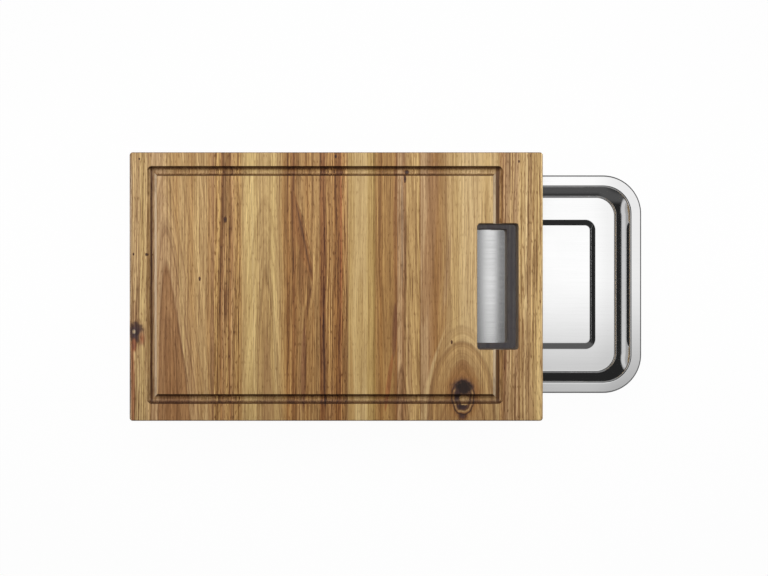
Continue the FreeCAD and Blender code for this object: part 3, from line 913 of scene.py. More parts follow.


# A pin knot's tones, the finger hole, the line of painted shade low in the groove that runs into the hole,
# and the staves' figures.
PIN = bands("0 pitch, 0.6 cocoa, 1 umber")
HOLE = Cutout((356.4, 0), 20, 61)
HOLE_LEG = ((356.6, 2.4),)
FIGURES = (
    WoodFinish(
        bands("0 ash, 2.5 sand, 9 sand, 11 lemon, 14 lemon, 16.5 sand, 21 honey"),
        Rings(60, 10, 0.03), edges=(21,), soil=((20.4, 1.7),), contrast=1.05, tint=(1.02, 1.05, 1.13),
        streaks=(
            Streak((6, -12), (5.5, -36), 8, Tone.CLAY, 0.7, fade=3),
            Streak((4.9, -54), (10.5, -140), 11, Tone.STRAW, 0.8, closing=0),
            Streak((3, -56), (3.6, -150), 5, Tone.BRICK, 0.75, opening=0.3, fade=(1, 1.5)),
            Streak((0, -50), (0, -160), 4, Tone.PLUM, 0.6, opening=0.2),
            Streak((0, 136), (0, -30), 2.6, Tone.UMBER, 0.6, opening=0.1, fade=(0.6, 1))),
        knots=(
            Knot((6.2, -44), 8.4, 12, bands("0 pitch, 0.4 plum, 0.75 cocoa, 1 clay"), ragged=0.5, fade=0.9),
            Knot((12.3, -50), 3.2, 7, bands("0 brick, 1 clay"), fade=0.8),
            Knot((4.4, -57), 2.6, 6, bands("0 wine, 1 brick"), fade=0.8),
            Knot((4.4, -43.6), 2, 2.6, bands("0 cream, 0.6 ash, 1 plum"), fade=0.5),
            Knot((16.6, 31), 1.3, 1.6, PIN), Knot((4.1, 31.3), 0.9, 1.4, PIN),
            Knot((9.7, 123.5), 0.8, 1.2, PIN))),
    WoodFinish(
        bands("21 shell, 30 shell, 38 sand, 46 honey, 52 sand, 60 honey, 68 sand, 74.5 sand, 77 honey, "
              "81.5 clay"),
        Rings(35, 7.3, 0.133, 1.7), edges=(21, 81.5), contrast=0.8, tint=(1.08, 1.1, 1.12),
        arches=(
            Arches((34.5, 88), 7.3, 0.15, Tone.SHELL, 0.2, lean=0.04, pitch=1.9, rim=0.2),
            Arches((34.5, 69), 7.3, 0.12, Tone.SHELL, 0.2, lean=0.045, pitch=1.8, rim=0.25),
            Arches((34.5, 59), 7.3, 0.105, Tone.CLAY, 0.3, lean=0.05, pitch=1.7, rim=0.5),
            Arches((35, 45), 7.3, 0.09, Tone.SHELL, 0.2, lean=0.05, pitch=1.7, rim=0.2),
            Arches((35, 24.5), 7.3, 0.072, Tone.RUSSET, 0.8, lean=0.055, pitch=1.8, rim=0.5),
            Arches((36.5, -22), 5, 0.05, Tone.RUSSET, 0.45, lean=0.05, pitch=1.6, edge=1.5, rim=0)),
        streaks=(
            Streak((64, 130), (66, -20), 9, Tone.STRAW, 0.5, fade=4),
            Streak((48, 40), (54, -80), 5, Tone.STRAW, 0.5),
            Streak((44, -8), (60.5, -118), 2.2, Tone.UMBER, 0.75, opening=0.3, bow=-1, fade=(0.8, 0.5)),
            Streak((31, -10), (33, -132), 7, Tone.CLAY, 0.5, opening=0.6, closing=0, fade=2.5),
            Streak((66, -60), (70, -135), 12, Tone.HONEY, 0.6, fade=4),
            Streak((80, 2), (80.5, -24), 3, Tone.OLIVE, 0.6),
            Streak((79, -50), (78.5, -125), 2.4, Tone.COCOA, 0.45, fade=1)),
        knots=(
            Knot((68, 7.5), 1.2, 2.2, PIN), Knot((20.6, 31), 0.9, 1.4, PIN))),
    WoodFinish(
        bands("81.5 clay, 83 honey, 87 honey, 89 russet, 91 clay, 95.5 honey, 97.5 russet, 99 clay, "
              "103 honey, 107.5 honey"),
        Rings(140, 12, 0.02), edges=(81.5,), contrast=1.5, tint=(1.09, 1.12, 1.07),
        streaks=(
            Streak((89.5, 140), (90, -60), 1.4, Tone.UMBER, 0.8, fade=0.6),
            Streak((97.3, 140), (98, 20), 1.4, Tone.UMBER, 0.6, fade=0.6),
            Streak((94.5, 6), (94.5, -40), 6, Tone.WINE, 0.45, fade=2.5),
            Streak((96.5, -30), (97.5, -110), 2, Tone.UMBER, 0.8, fade=0.8),
            Streak((85.5, -40), (86.5, -125), 1.6, Tone.UMBER, 0.7, fade=0.7)),
        knots=(Knot((92.7, 64.7), 1.7, 3.2, PIN),)),
    WoodFinish(
        bands("107.5 honey, 110 sand, 114 straw, 121 straw, 126 sand, 132 sand, 139.5 straw, 144 sand, "
              "149 honey, 152.5 amber"),
        Rings(131, 16, 0.09, 2.4), edges=(152.5,), contrast=0.7, tint=(1.08, 1.13, 1.12),
        arches=(
            Arches((131.2, 43), 6, 0.07, Tone.SAND, 0.3, lean=0.01, pitch=2.4, rim=0.15),
            Arches((131.5, 22), 6, 0.055, Tone.HONEY, 0.35, lean=0.02, pitch=2.2, rim=0.25),
            Arches((132.5, -24), 4, 0.04, Tone.CLAY, 0.6, lean=0.02, edge=1.5, rim=0.15)),
        streaks=(
            Streak((118, 140), (121, -130), 4, Tone.CREAM, 0.55, fade=2),
            Streak((139.5, 0), (143, -130), 3, Tone.CREAM, 0.5),
            Streak((149.5, 140), (150.5, 0), 7, Tone.AMBER, 0.7, closing=0.7, fade=(3, 1.5)),
            Streak((148.5, 10), (149, -120), 5, Tone.HONEY, 0.6, fade=(2, 1.5)))),
    WoodFinish(
        bands("152.5 amber, 156 honey, 159 russet, 162 honey, 166 sand, 172 honey, 178 sand, 184 sand"),
        Rings(140, 20, -0.03, 2), edges=(152.5,), contrast=1.1, tint=(0.94, 0.87, 0.77),
        streaks=(
            Streak((153.6, 140), (153.4, 60), 1.6, Tone.UMBER, 0.7, fade=0.6),
            Streak((159.2, 140), (160.2, 40), 2.6, Tone.UMBER, 0.75, fade=1),
            Streak((165.5, 126), (166.5, 62), 9, Tone.SAND, 0.7, fade=3),
            Streak((157, 96), (176.6, 4), 13, Tone.RUSSET, 0.95, bow=-2.5, fade=(5, 0.8)),
            Streak((160, 88), (176.8, 5), 3.6, Tone.COCOA, 0.75, bow=-0.6, fade=(2.4, 0.6)),
            Streak((163, 82), (178, 14), 1.8, Tone.UMBER, 0.6, bow=1.4, fade=(0.8, 0.6)),
            Streak((166, 52), (167, -24), 9, Tone.RUSSET, 0.7, fade=3),
            Streak((168.5, 22), (175, -12), 7, Tone.UMBER, 0.55, fade=(2.5, 1)),
            Streak((176.5, 4), (168.5, -50), 5, Tone.UMBER, 0.7, bow=-1.5, fade=(2, 1.2)),
            Streak((169, -34), (168.5, -124), 8, Tone.WINE, 0.7, fade=2.5),
            Streak((164, -60), (163, -134), 7, Tone.CLAY, 0.6, closing=0, fade=(3, 1.5)),
            Streak((178, -14), (177, -126), 8, Tone.HONEY, 0.5, fade=2.5))),
    WoodFinish(
        bands("184 amber, 185.5 umber, 187 russet, 189 umber, 191 honey, 196 honey, 200 amber, "
              "204.5 russet, 207.5 honey, 211 sand"),
        Rings(270, 14, 0.015), edges=(184, 211), contrast=1.5, tint=(0.97, 0.9, 0.82),
        streaks=(
            Streak((196, 140), (195.5, -60), 1.8, Tone.SAND, 0.6, fade=0.8),
            Streak((205, 140), (204.5, -70), 3, Tone.BRICK, 0.6, fade=1.2),
            Streak((187, 60), (186.8, -60), 3.4, Tone.UMBER, 0.55, fade=1.4),
            Streak((188.4, -22), (189.6, -122), 3.8, Tone.COCOA, 0.85, bow=-1.2, fade=(1.2, 1)),
            Streak((186.5, 10), (187.5, -50), 1.6, Tone.COCOA, 0.6, fade=0.7),
            Streak((196, -84), (194, -134), 12, Tone.CLAY, 0.6, closing=0, fade=(3, 1.5)),
            Streak((203, -30), (202, -110), 3, Tone.UMBER, 0.6, fade=1.4)),
        knots=(Knot((199.5, 125.8), 1.3, 1.9, PIN),)),
    WoodFinish(
        bands("211 sand, 214 straw, 219 cream, 228 cream, 231 lemon, 234.5 lemon, 238 olive"),
        Rings(330, 20, 0.012, 2.6), edges=(211,), contrast=0.55, tint=(0.96, 0.95, 0.87),
        streaks=(
            Streak((224, 20), (223, -128), 14, Tone.STRAW, 0.7, fade=5),
            Streak((236.5, 140), (235, 10), 2.4, Tone.OLIVE, 0.7, fade=(1, 0.8)),
            Streak((213, 60), (212.5, -60), 2.4, Tone.AMBER, 0.5, fade=(1, 1.5)),
            Streak((215, -30), (215, -138), 10, Tone.HONEY, 0.7, closing=0, fade=3))),
    WoodFinish(
        bands("238 honey, 240.5 honey, 243 amber, 246 honey, 250 honey, 254.5 honey, 257.5 russet, "
              "259 russet"),
        Rings(150, 14, 0.02), edges=(259,), contrast=0.75, tint=(0.96, 0.93, 0.82),
        streaks=(
            Streak((242.5, 110), (242, -20), 3.2, Tone.UMBER, 0.5, fade=(1.4, 1.2)),
            Streak((250.5, 130), (249.5, 30), 6, Tone.HONEY, 0.6, fade=2),
            Streak((257.8, 140), (257.4, -8), 2, Tone.UMBER, 0.7, fade=(1, 0.6)),
            Streak((248, -10), (248, -86), 6, Tone.UMBER, 0.4, fade=2.5),
            Streak((256.5, -14), (255, -72), 7, Tone.WINE, 0.7, fade=(3, 1)),
            Streak((254.5, -64), (246.5, -122), 6, Tone.BRICK, 0.65, fade=(2, 1)))),
    WoodFinish(
        bands("259 shell, 263 shell, 265 clay, 267.5 sand, 270 straw, 278 straw, 280 lemon, 281.5 honey"),
        Rings(263, 11, 0.06, 2), edges=(259,), contrast=0.9, tint=(0.93, 0.88, 0.84),
        arches=(Arches((263, -76), 3, 0.1, Tone.CLAY, 0.5, pitch=1.4),),
        streaks=(
            Streak((266.6, 106), (267.5, -60), 1.7, Tone.UMBER, 0.7, bow=-0.8, fade=0.7),
            Streak((263.5, 120), (263.5, -10), 4, Tone.ASH, 0.55),
            Streak((272, -40), (273.5, -134), 2, Tone.CLAY, 0.6, fade=0.9),
            Streak((269, -20), (271, -134), 5, Tone.SHELL, 0.6, fade=2)),
        knots=(
            Knot((266.5, 104), 1.3, 4, PIN), Knot((268.5, 111.3), 2.4, 2.4, PIN, fade=0.5))),
    WoodFinish(
        bands("281.5 shell, 286.5 shell, 290 clay, 296 amber, 301 honey, 309 sand, 316 straw, 324 cream, "
              "336 cream, 346 straw, 353 cream, 358 straw"),
        Rings(250, 30, 0.04, 2.6), edges=(281.5, 358), soil=HOLE_LEG, shade_and_scorch=HOLE, contrast=0.65,
        arches=(
            Arches((322, -38), 16, 0.8, Tone.SAND, 0.35, pitch=3, edge=1.6, rim=0.15, reach=32),
            Arches((321.6, -53), 13, 0.95, Tone.HONEY, 0.6, pitch=2.4, edge=1.5, rim=0.4, reach=25),
            Arches((322.4, -69), 5, 0.33, Tone.RUSSET, 0.4, pitch=2, edge=2, rim=0.2)),
        streaks=(
            Streak((297, 122), (284, -40), 13, Tone.CLAY, 0.75, opening=0.35, closing=0.35, fade=(2.5, 4)),
            Streak((300, 70), (294, -64), 5, Tone.RUSSET, 0.5, bow=1.5, fade=2),
            Streak((310, 60), (303, -34), 7, Tone.SHELL, 0.55, fade=3),
            Streak((306, -12), (300, -56), 8, Tone.AMBER, 0.4, fade=3),
            Streak((311, -30), (283.5, -134), 8, Tone.CREAM, 0.7, closing=0, bow=-6, fade=(3, 2)),
            Streak((325.6, -25), (303.5, -37.5), 1.2, Tone.AMBER, 0.55, fade=0.6),
            Streak((322.4, -70), (322, -128), 34, Tone.RUSSET, 0.55, fade=5)),
        knots=(
            Knot((322.4, -104), 17, 24, bands("0 umber, 0.6 russet, 1 amber"), fade=0.7),
            Knot((321.8, -124.5), 5, 5.5, bands("0 plum, 1 umber"), ragged=0.5, fade=1),
            Knot((322.6, -107.2), 11.4, 17,
                 bands("0 umber, 0.66 russet, 0.8 sand, 0.87 russet, 0.93 cocoa, 0.96 pitch, 1 pitch"),
                 ragged=0.16, fade=0.14),
            Knot((322.7, -107.5), 8.2, 12.5, bands("0 umber, 0.72 clay, 0.84 umber, 0.92 cocoa, 1 cocoa"),
                 ragged=0.3, fade=0.3),
            Knot((322.4, -97.5), 9.6, 8, bands("0 pitch, 0.7 pitch, 1 plum"), ragged=0.5, fade=0.9),
            Knot((317.2, -105.5), 2.6, 6, bands("0 pitch, 1 plum"), ragged=0.5, fade=0.9),
            Knot((321.6, -116), 5.4, 3.2, bands("0 pitch, 1 plum"), ragged=0.5, fade=0.8),
            Knot((324, -109.7), 5.2, 5.4, bands("0 cream, 0.55 sand, 0.82 sand, 1 pitch"), ragged=0.45,
                 fade=0.25),
            Knot((311.7, -53.8), 1.1, 2.2, PIN))),
    WoodFinish(
        bands("358 honey, 362 clay, 366 shell, 370 sand, 374.5 shell, 379 straw, 384 cream, 388 sand, "
              "393 straw, 397 straw, 400 cream"),
        Rings(520, 10, 0.008), edges=(358,), soil=HOLE_LEG, shade_and_scorch=HOLE, contrast=1.25,
        streaks=(
            Streak((365, -30), (363, -110), 2.4, Tone.BRICK, 0.45, fade=1.2),
            Streak((380, -70), (380.5, -126), 2, Tone.UMBER, 0.5, fade=1),
            Streak((373, 60), (373.5, -40), 2.2, Tone.RUSSET, 0.45, fade=1),
            Streak((380, -10), (380, -150), 36, Tone.CLAY, 0.5, opening=0.5, closing=0, fade=8)),
        knots=(Knot((376.7, 121), 0.9, 1.5, PIN),)),
)


class Panel:
    """The glued-up panel: eleven staves, each a piece of acacia with its own figure."""

    def __init__(self, effects: WoodEffects) -> None:
        """Take the shared node groups."""
        self.effects = effects

    def build(self) -> None:
        """Dress every stave, from left to right."""
        for number, (name, figure) in enumerate(zip(STAVES, FIGURES), 1):
            finish = replace(figure, name=f"{name}_acacia", seed=float(number))
            dress_node(name, finish.material(self.effects))


def dress_node(name: str, material: bpy.types.Material) -> None:
    """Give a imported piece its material.

    Args:
        name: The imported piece's name.
        material: What it is made of.
    """
    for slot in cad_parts[name].material_slots:
        slot.material = material
    LOG.info("%s: %s", name, material.name)


class RailFrame:
    """The three rails that carry the panel, and the beech dowels that hold them to it."""

    def __init__(self, effects: WoodEffects) -> None:
        """Take the shared node groups."""
        self.effects = effects

    def build(self) -> None:
        """Dress the rails and the dowels."""
        side = WoodFinish(bands("-140 amber, -118 honey, -112 russet, -104 honey, 0 sand, 104 honey, "
                                "113 sand, 119 clay, 140 honey"),
                          Rings(-40.0, 30.0, 0.015), grain=Grain.ALONG_BOARD)
        end = WoodFinish(bands("0 honey, 10 amber, 22 sand"), Rings(-30.0, 20.0, 0.02))
        for name, finish, seed in (("front_rail", side, 21.0), ("back_rail", side, 22.0),
                                   ("end_rail", end, 23.0)):
            finish = replace(finish, name=f"{name}_acacia", seed=seed)
            dress_node(name, finish.material(self.effects))
        beech = WoodFinish(bands("0 cream, 400 straw"), Rings(-60.0, 60.0, 0.0), name="dowel_beech",
                           seed=24.0, contrast=0.3).material(self.effects)
        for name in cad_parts:
            if "_dowel_" in name:
                dress_node(name, beech)


# --------------------------------------------------------------------------------- steel and rubber

@dataclass(frozen=True)
class SteelFinish:
    """Stainless steel.

    Attributes:
        name: Name of the material.
        tone: Its colour on a screen.
        roughness: Least roughness.
        brushing: How much the brushing adds to the roughness.
        strokes: Brushing strokes for each metre along x, y and z.
        lip: Middle of a rim and the height above which its outward bend is painted darker, a painted shade.
    """

    name: str
    tone: tuple[int, int, int]
    roughness: float
    brushing: float
    strokes: tuple[float, float, float]
    lip: tuple[float, float, float] = (0.0, 0.0, 1.0)

    def material(self) -> bpy.types.Material:
        """Build the material.

        Returns:
            The new material.
        """
        material = bpy.data.materials.new(self.name)
        graph = Graph.cleared(material)
        texture = graph.add("ShaderNodeTexCoord")
        place = texture.outputs["Object"]
        x, y, z = graph.parts(place)
        normal_x, normal_y, normal_z = graph.parts(texture.outputs["Normal"])
        # Painted shade: the outward bend of the rim's lip, above the given height, is darkened in colour.
        outwards = (normal_x * (x - self.lip[0]) + normal_y * (y - self.lip[1])).rise(0.005, 0.01)
        above_lip = z.rise(self.lip[2], self.lip[2] + 0.0003)
        lip_shade = outwards * above_lip * normal_z.rise(0.05, 0.3) * (1.0 - normal_z.rise(0.84, 0.95))
        brush = graph.noise(place, self.strokes, detail=3.0, roughness=0.6)
        cloud = graph.noise(place, (28.0, 28.0, 28.0), 3.0, detail=2.0)
        soft, dark = (linear(tuple(int(channel * share) for channel in self.tone)) for share in (0.86, 0.3))
        color = graph.mix((brush - 0.3).clamped() * 0.22 + (cloud - 0.4).clamped() * 0.2,
                          linear(self.tone), soft)
        color = graph.mix(lip_shade * 0.85, color, dark)
        roughness = brush.rise(0.25, 0.75) * self.brushing + cloud * self.brushing * 0.5 + self.roughness
        bump = graph.add("ShaderNodeBump", {"Strength": 0.06, "Distance": 0.00005, "Height": brush})
        graph.surface({"Base Color": color, "Metallic": 1.0, "Roughness": roughness,
                       "Normal": bump.outputs[0]})
        return material


@dataclass(frozen=True)
class RubberFinish:
    """Matt moulded rubber.

    Attributes:
        name: Name of the material.
        tone: Its colour on a screen.
    """

    name: str
    tone: tuple[int, int, int]

    def material(self) -> bpy.types.Material:
        """Build the material.

        Returns:
            The new material.
        """
        material = bpy.data.materials.new(self.name)
        graph = Graph.cleared(material)
        place = graph.add("ShaderNodeTexCoord").outputs["Object"]
        grit = graph.noise(place, (2600.0, 2600.0, 2600.0), detail=2.0)
        dust = graph.noise(place, (160.0, 160.0, 160.0), 2.0, detail=3.0)
        color = graph.mix(dust.rise(0.4, 0.8) * 0.5, linear(self.tone),
                          linear(tuple(c + 26 for c in self.tone)))
        bump = graph.add("ShaderNodeBump", {"Strength": 0.3, "Distance": 0.0001, "Height": grit})
        graph.surface({"Base Color": color, "Normal": bump.outputs[0], "Roughness": grit * 0.2 + 0.62})
        return material


# --------------------------------------------------------------------------- geometry node machinery

@dataclass(frozen=True)
class Bend:
    """A corner of a section: how far out it is, how far down, and the radius that rounds it."""

    out: Number
    down: Number
    radius: Number = 0.0


class Shaping:
    """Geometry node steps that the swept and turned pieces share."""

    def __init__(self, graph: Graph) -> None:
        """Work on a geometry tree."""
        self.graph = graph

    def section(self, bends: list[Bend], steps: int, closed: bool = False) -> bpy.types.NodeSocket:
        """A section through its corners, each rounded by its own radius.

        Args:
            bends: The corners in order.
            steps: Points on each rounded corner.
            closed: Whether the section runs back to its start.

        Returns:
            The section as a curve, x outwards and y down.
        """
        graph = self.graph
        index = graph.add("GeometryNodeInputIndex").outputs[0]
        line = graph.add("GeometryNodeMeshLine", {"Count": len(bends)})
        placed = graph.add("GeometryNodeSetPosition", {0: line.outputs[0], "Position": self._pick(
            "VECTOR", index, [graph.point(bend.out, bend.down) for bend in bends])})
        curve = graph.add("GeometryNodeMeshToCurve", {0: placed.outputs[0]}).outputs[0]
        if closed:
            curve = graph.add("GeometryNodeSetSplineCyclic", {0: curve, "Cyclic": True}).outputs[0]
        return graph.add("GeometryNodeFilletCurve",
                         {0: curve, "Count": steps, "Limit Radius": True,
                          "Radius": self._pick("FLOAT", index, [bend.radius for bend in bends])},
                         mode="POLY").outputs[0]

    def _pick(self, kind: str, index: bpy.types.NodeSocket, values: list[Number]) -> bpy.types.NodeSocket:
        """Pick a value by a point's number.

        Args:
            kind: The values' kind, FLOAT or VECTOR.
            index: The point's number.
            values: One value for each point.

        Returns:
            The point's value.
        """
        node = self.graph.add("GeometryNodeIndexSwitch", data_type=kind)
        while len(node.index_switch_items) < len(values):
            node.index_switch_items.new()
        self.graph.feed(node.inputs[0], index)
        for number, value in enumerate(values, 1):
            self.graph.feed(node.inputs[number], value)
        return node.outputs[0]

    def frame_line(self, length: Number, width: Number, corner: Number, steps: int) -> bpy.types.NodeSocket:
        """A rectangle with round corners.

        Args:
            length: Its size along x.
            width: Its size along y.
            corner: Radius of its corners.
            steps: Points on each corner.

        Returns:
            The rectangle as a curve.
        """
        rectangle = self.graph.add("GeometryNodeCurvePrimitiveQuadrilateral",
                                   {"Width": length, "Height": width})
        return self.graph.add("GeometryNodeFilletCurve", {0: rectangle.outputs[0], "Count": steps,
                                                          "Radius": corner}, mode="POLY").outputs[0]

    def sweep(self, path: bpy.types.NodeSocket, section: bpy.types.NodeSocket) -> bpy.types.NodeSocket:
        """Run a section round a path."""
        return self.graph.add("GeometryNodeCurveToMesh", {0: path, 1: section}).outputs[0]

    def fill_edges_at(self, mesh: bpy.types.NodeSocket, height: Number) -> bpy.types.NodeSocket:
        """Close the flat that the open edges at one height bound.

        Args:
            mesh: The mesh with the open edges.
            height: Their height.

        Returns:
            The flat alone.
        """
        graph = self.graph
        faces = graph.add("GeometryNodeInputMeshEdgeNeighbors").outputs[0]
        _, _, z = graph.parts(graph.add("GeometryNodeInputPosition").outputs[0])
        level = graph.math("COMPARE", z, height, 1e-6)
        open_edge = graph.math("COMPARE", Term(graph, faces), 1.0, 0.1)
        loops = graph.add("GeometryNodeMeshToCurve", {0: mesh, "Selection": level * open_edge})
        flat = graph.add("GeometryNodeFillCurve", {0: loops.outputs[0]}, mode="TRIANGLES")
        return self.moved(flat.outputs[0], graph.point(0.0, 0.0, height))

    def moved(self, geometry: bpy.types.NodeSocket, by: Any) -> bpy.types.NodeSocket:
        """Move geometry."""
        return self.graph.add("GeometryNodeTransform", {0: geometry, "Translation": by}).outputs[0]

    def joined(self, *pieces: bpy.types.NodeSocket) -> bpy.types.NodeSocket:
        """Join pieces and merge the points that they share.

        Args:
            pieces: The pieces.

        Returns:
            The joined geometry.
        """
        graph = self.graph
        join = graph.add("GeometryNodeJoinGeometry")
        for piece in reversed(pieces):
            graph.tree.links.new(piece, join.inputs[0])
        return graph.add("GeometryNodeMergeByDistance", {0: join.outputs[0], "Distance": 2e-6}).outputs[0]

    def finish(self, geometry: bpy.types.NodeSocket, material: bpy.types.Material) -> None:
        """Realize, smooth and dress the geometry, and put it out.

        Args:
            geometry: The finished geometry.
            material: What it is made of.
        """
        graph = self.graph
        real = graph.add("GeometryNodeRealizeInstances", {0: geometry}).outputs[0]
        smooth = graph.add("GeometryNodeSetShadeSmooth", {0: real}).outputs[0]
        dressed = graph.add("GeometryNodeSetMaterial", {0: smooth, "Material": material}).outputs[0]
        graph.give(Geometry=dressed)


def grow(name: str, graph: Graph, values: dict[str, float], sheet: float = 0.0,
         crease: float = math.radians(32)) -> bpy.types.Object:
    """Run a geometry tree once and keep its result as a plain mesh.

    Args:
        name: Name of the piece.
        graph: The tree's graph.
        values: Values for the tree's named inputs.
        sheet: Thickness to give an open skin, downwards from its faces.
        crease: Edges that turn further than this stay sharp.

    Returns:
        The new object, with no modifier but the one that evens its normals.
    """
    seedling = bpy.data.objects.new(name, bpy.data.meshes.new(name))
    bpy.context.scene.collection.objects.link(seedling)
    modifier = seedling.modifiers.new("shape", "NODES")
    modifier.node_group = graph.tree
    sockets = {item.name: item.identifier for item in graph.tree.interface.items_tree
               if item.item_type == "SOCKET" and item.in_out == "INPUT"}
    for socket, value in values.items():
        modifier[sockets[socket]] = value
    if sheet:
        solid = seedling.modifiers.new("sheet", "SOLIDIFY")
        solid.thickness, solid.offset, solid.use_even_offset = sheet, -1.0, True
    evaluated = seedling.evaluated_get(bpy.context.evaluated_depsgraph_get())
    mesh = bpy.data.meshes.new_from_object(evaluated)
    bpy.data.objects.remove(seedling)
    mesh.name = name
    mesh.set_sharp_from_angle(angle=crease)
    piece = bpy.data.objects.new(name, mesh)
    bpy.context.scene.collection.objects.link(piece)
    even = piece.modifiers.new("even_normals", "WEIGHTED_NORMAL")
    even.keep_sharp = True
    return piece


def install(piece: bpy.types.Object, body: str, slot: str, *nodes: str) -> None:
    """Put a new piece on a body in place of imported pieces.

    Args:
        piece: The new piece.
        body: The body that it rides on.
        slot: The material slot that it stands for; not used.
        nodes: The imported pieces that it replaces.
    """
    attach(piece, body)
    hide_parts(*nodes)
    LOG.info("%s: %d faces", piece.name, len(piece.data.polygons))


@dataclass
class SteelTray:
    """The pressed tray: a rim with a turned-down lip, leaning walls, and a floor with a raised field."""

    sheet: float = 0.8 * MM
    lip_height: float = 3.6 * MM
    lip_bend: float = 1.6 * MM
    flange: float = 11.3 * MM
    corner: float = 38.0 * MM
    mouth_bend: float = 2.2 * MM
    floor_bend: float = 1.9 * MM
    floor_strip: float = 8.0 * MM
    wall_draft: float = math.radians(13.5)
    wall_flare: float = 1.1 * MM
    flare_bend: float = 200.0 * MM
    end_channel: float = 20.6 * MM
    side_channel: float = 23.6 * MM
    field_corner: float = 10.5 * MM
    field_height: float = 2.0 * MM
    field_slope: float = 6.0 * MM
    field_bend: float = 3.0 * MM
    field_strip: float = 2.0 * MM
    channel_strip: float = 3.0 * MM
    finish: SteelFinish = SteelFinish("tray_steel", (226, 226, 226), 0.02, 0.03, (12.0, 900.0, 12.0))

    def build(self) -> bpy.types.Object:
        """Build the tray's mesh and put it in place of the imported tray.

        Returns:
            The new tray.
        """
        low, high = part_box("tray")
        length, width, depth = high - low
        floor = depth - self.sheet
        floor_inset = self.flange + floor * math.tan(self.wall_draft)
        middle = (low + high) / 2
        finish = replace(self.finish, lip=(middle.x, middle.y, high.z - self.lip_bend))
        sizes = {
            "Length": length, "Width": width, "Corner": self.corner, "Flange": self.flange,
            "Lip Height": self.lip_height, "Floor Depth": floor, "Floor Inset": floor_inset,
            "Field Length": length - 2 * (floor_inset + self.end_channel),
            "Field Width": width - 2 * (floor_inset + self.side_channel),
            "Field Corner": self.field_corner, "Field Height": self.field_height,
            "Field Slope": self.field_slope}
        top_middle = (middle.x, middle.y, high.z)
        piece = grow("pressed_tray", self._tree(sizes, finish.material(), top_middle), sizes, self.sheet)
        install(piece, TRAY, self.finish.name, "tray")
        return piece

    def _tree(self, sizes: dict[str, float], material: bpy.types.Material,
              top_middle: tuple[float, float, float]) -> Graph:
        """Geometry tree of the tray's upper skin: two sweeps, and the flats between them.

        Args:
            sizes: The tree's inputs.
            material: What the tray is made of.
            top_middle: Middle of the rim.

        Returns:
            The tree's graph.
        """
        graph = Graph.group("pressed_tray", "GeometryNodeTree", sizes, {"Geometry": "Geometry"})
        shape = Shaping(graph)
        inset, floor, flange, lip = graph.all_given("Floor Inset, Floor Depth, Flange, Lip Height")
        rim_path = shape.frame_line(*graph.all_given("Length, Width, Corner"), 26)
        rim = shape.sweep(rim_path, shape.section([
            Bend(-inset - self.floor_strip, floor), Bend(-inset, floor, self.floor_bend),
            Bend((inset + flange) / -2 - self.wall_flare, floor / 2, self.flare_bend),
            Bend(-flange, 0.0, self.mouth_bend), Bend(0.0, 0.0, self.lip_bend), Bend(0.0, lip)], 10))
        slope, height = graph.all_given("Field Slope, Field Height")
        field_path = shape.frame_line(*graph.all_given("Field Length, Field Width, Field Corner"), 22)
        field = shape.sweep(field_path, shape.section([
            Bend(-slope - self.field_strip, floor - height), Bend(-slope, floor - height, self.field_bend),
            Bend(0.0, floor, self.field_bend), Bend(self.channel_strip, floor)], 8))
        swept = shape.joined(rim, field)
        skin = shape.joined(swept, shape.fill_edges_at(swept, -floor),
                            shape.fill_edges_at(swept, height - floor))
        shape.finish(shape.moved(skin, top_middle), material)
        return graph


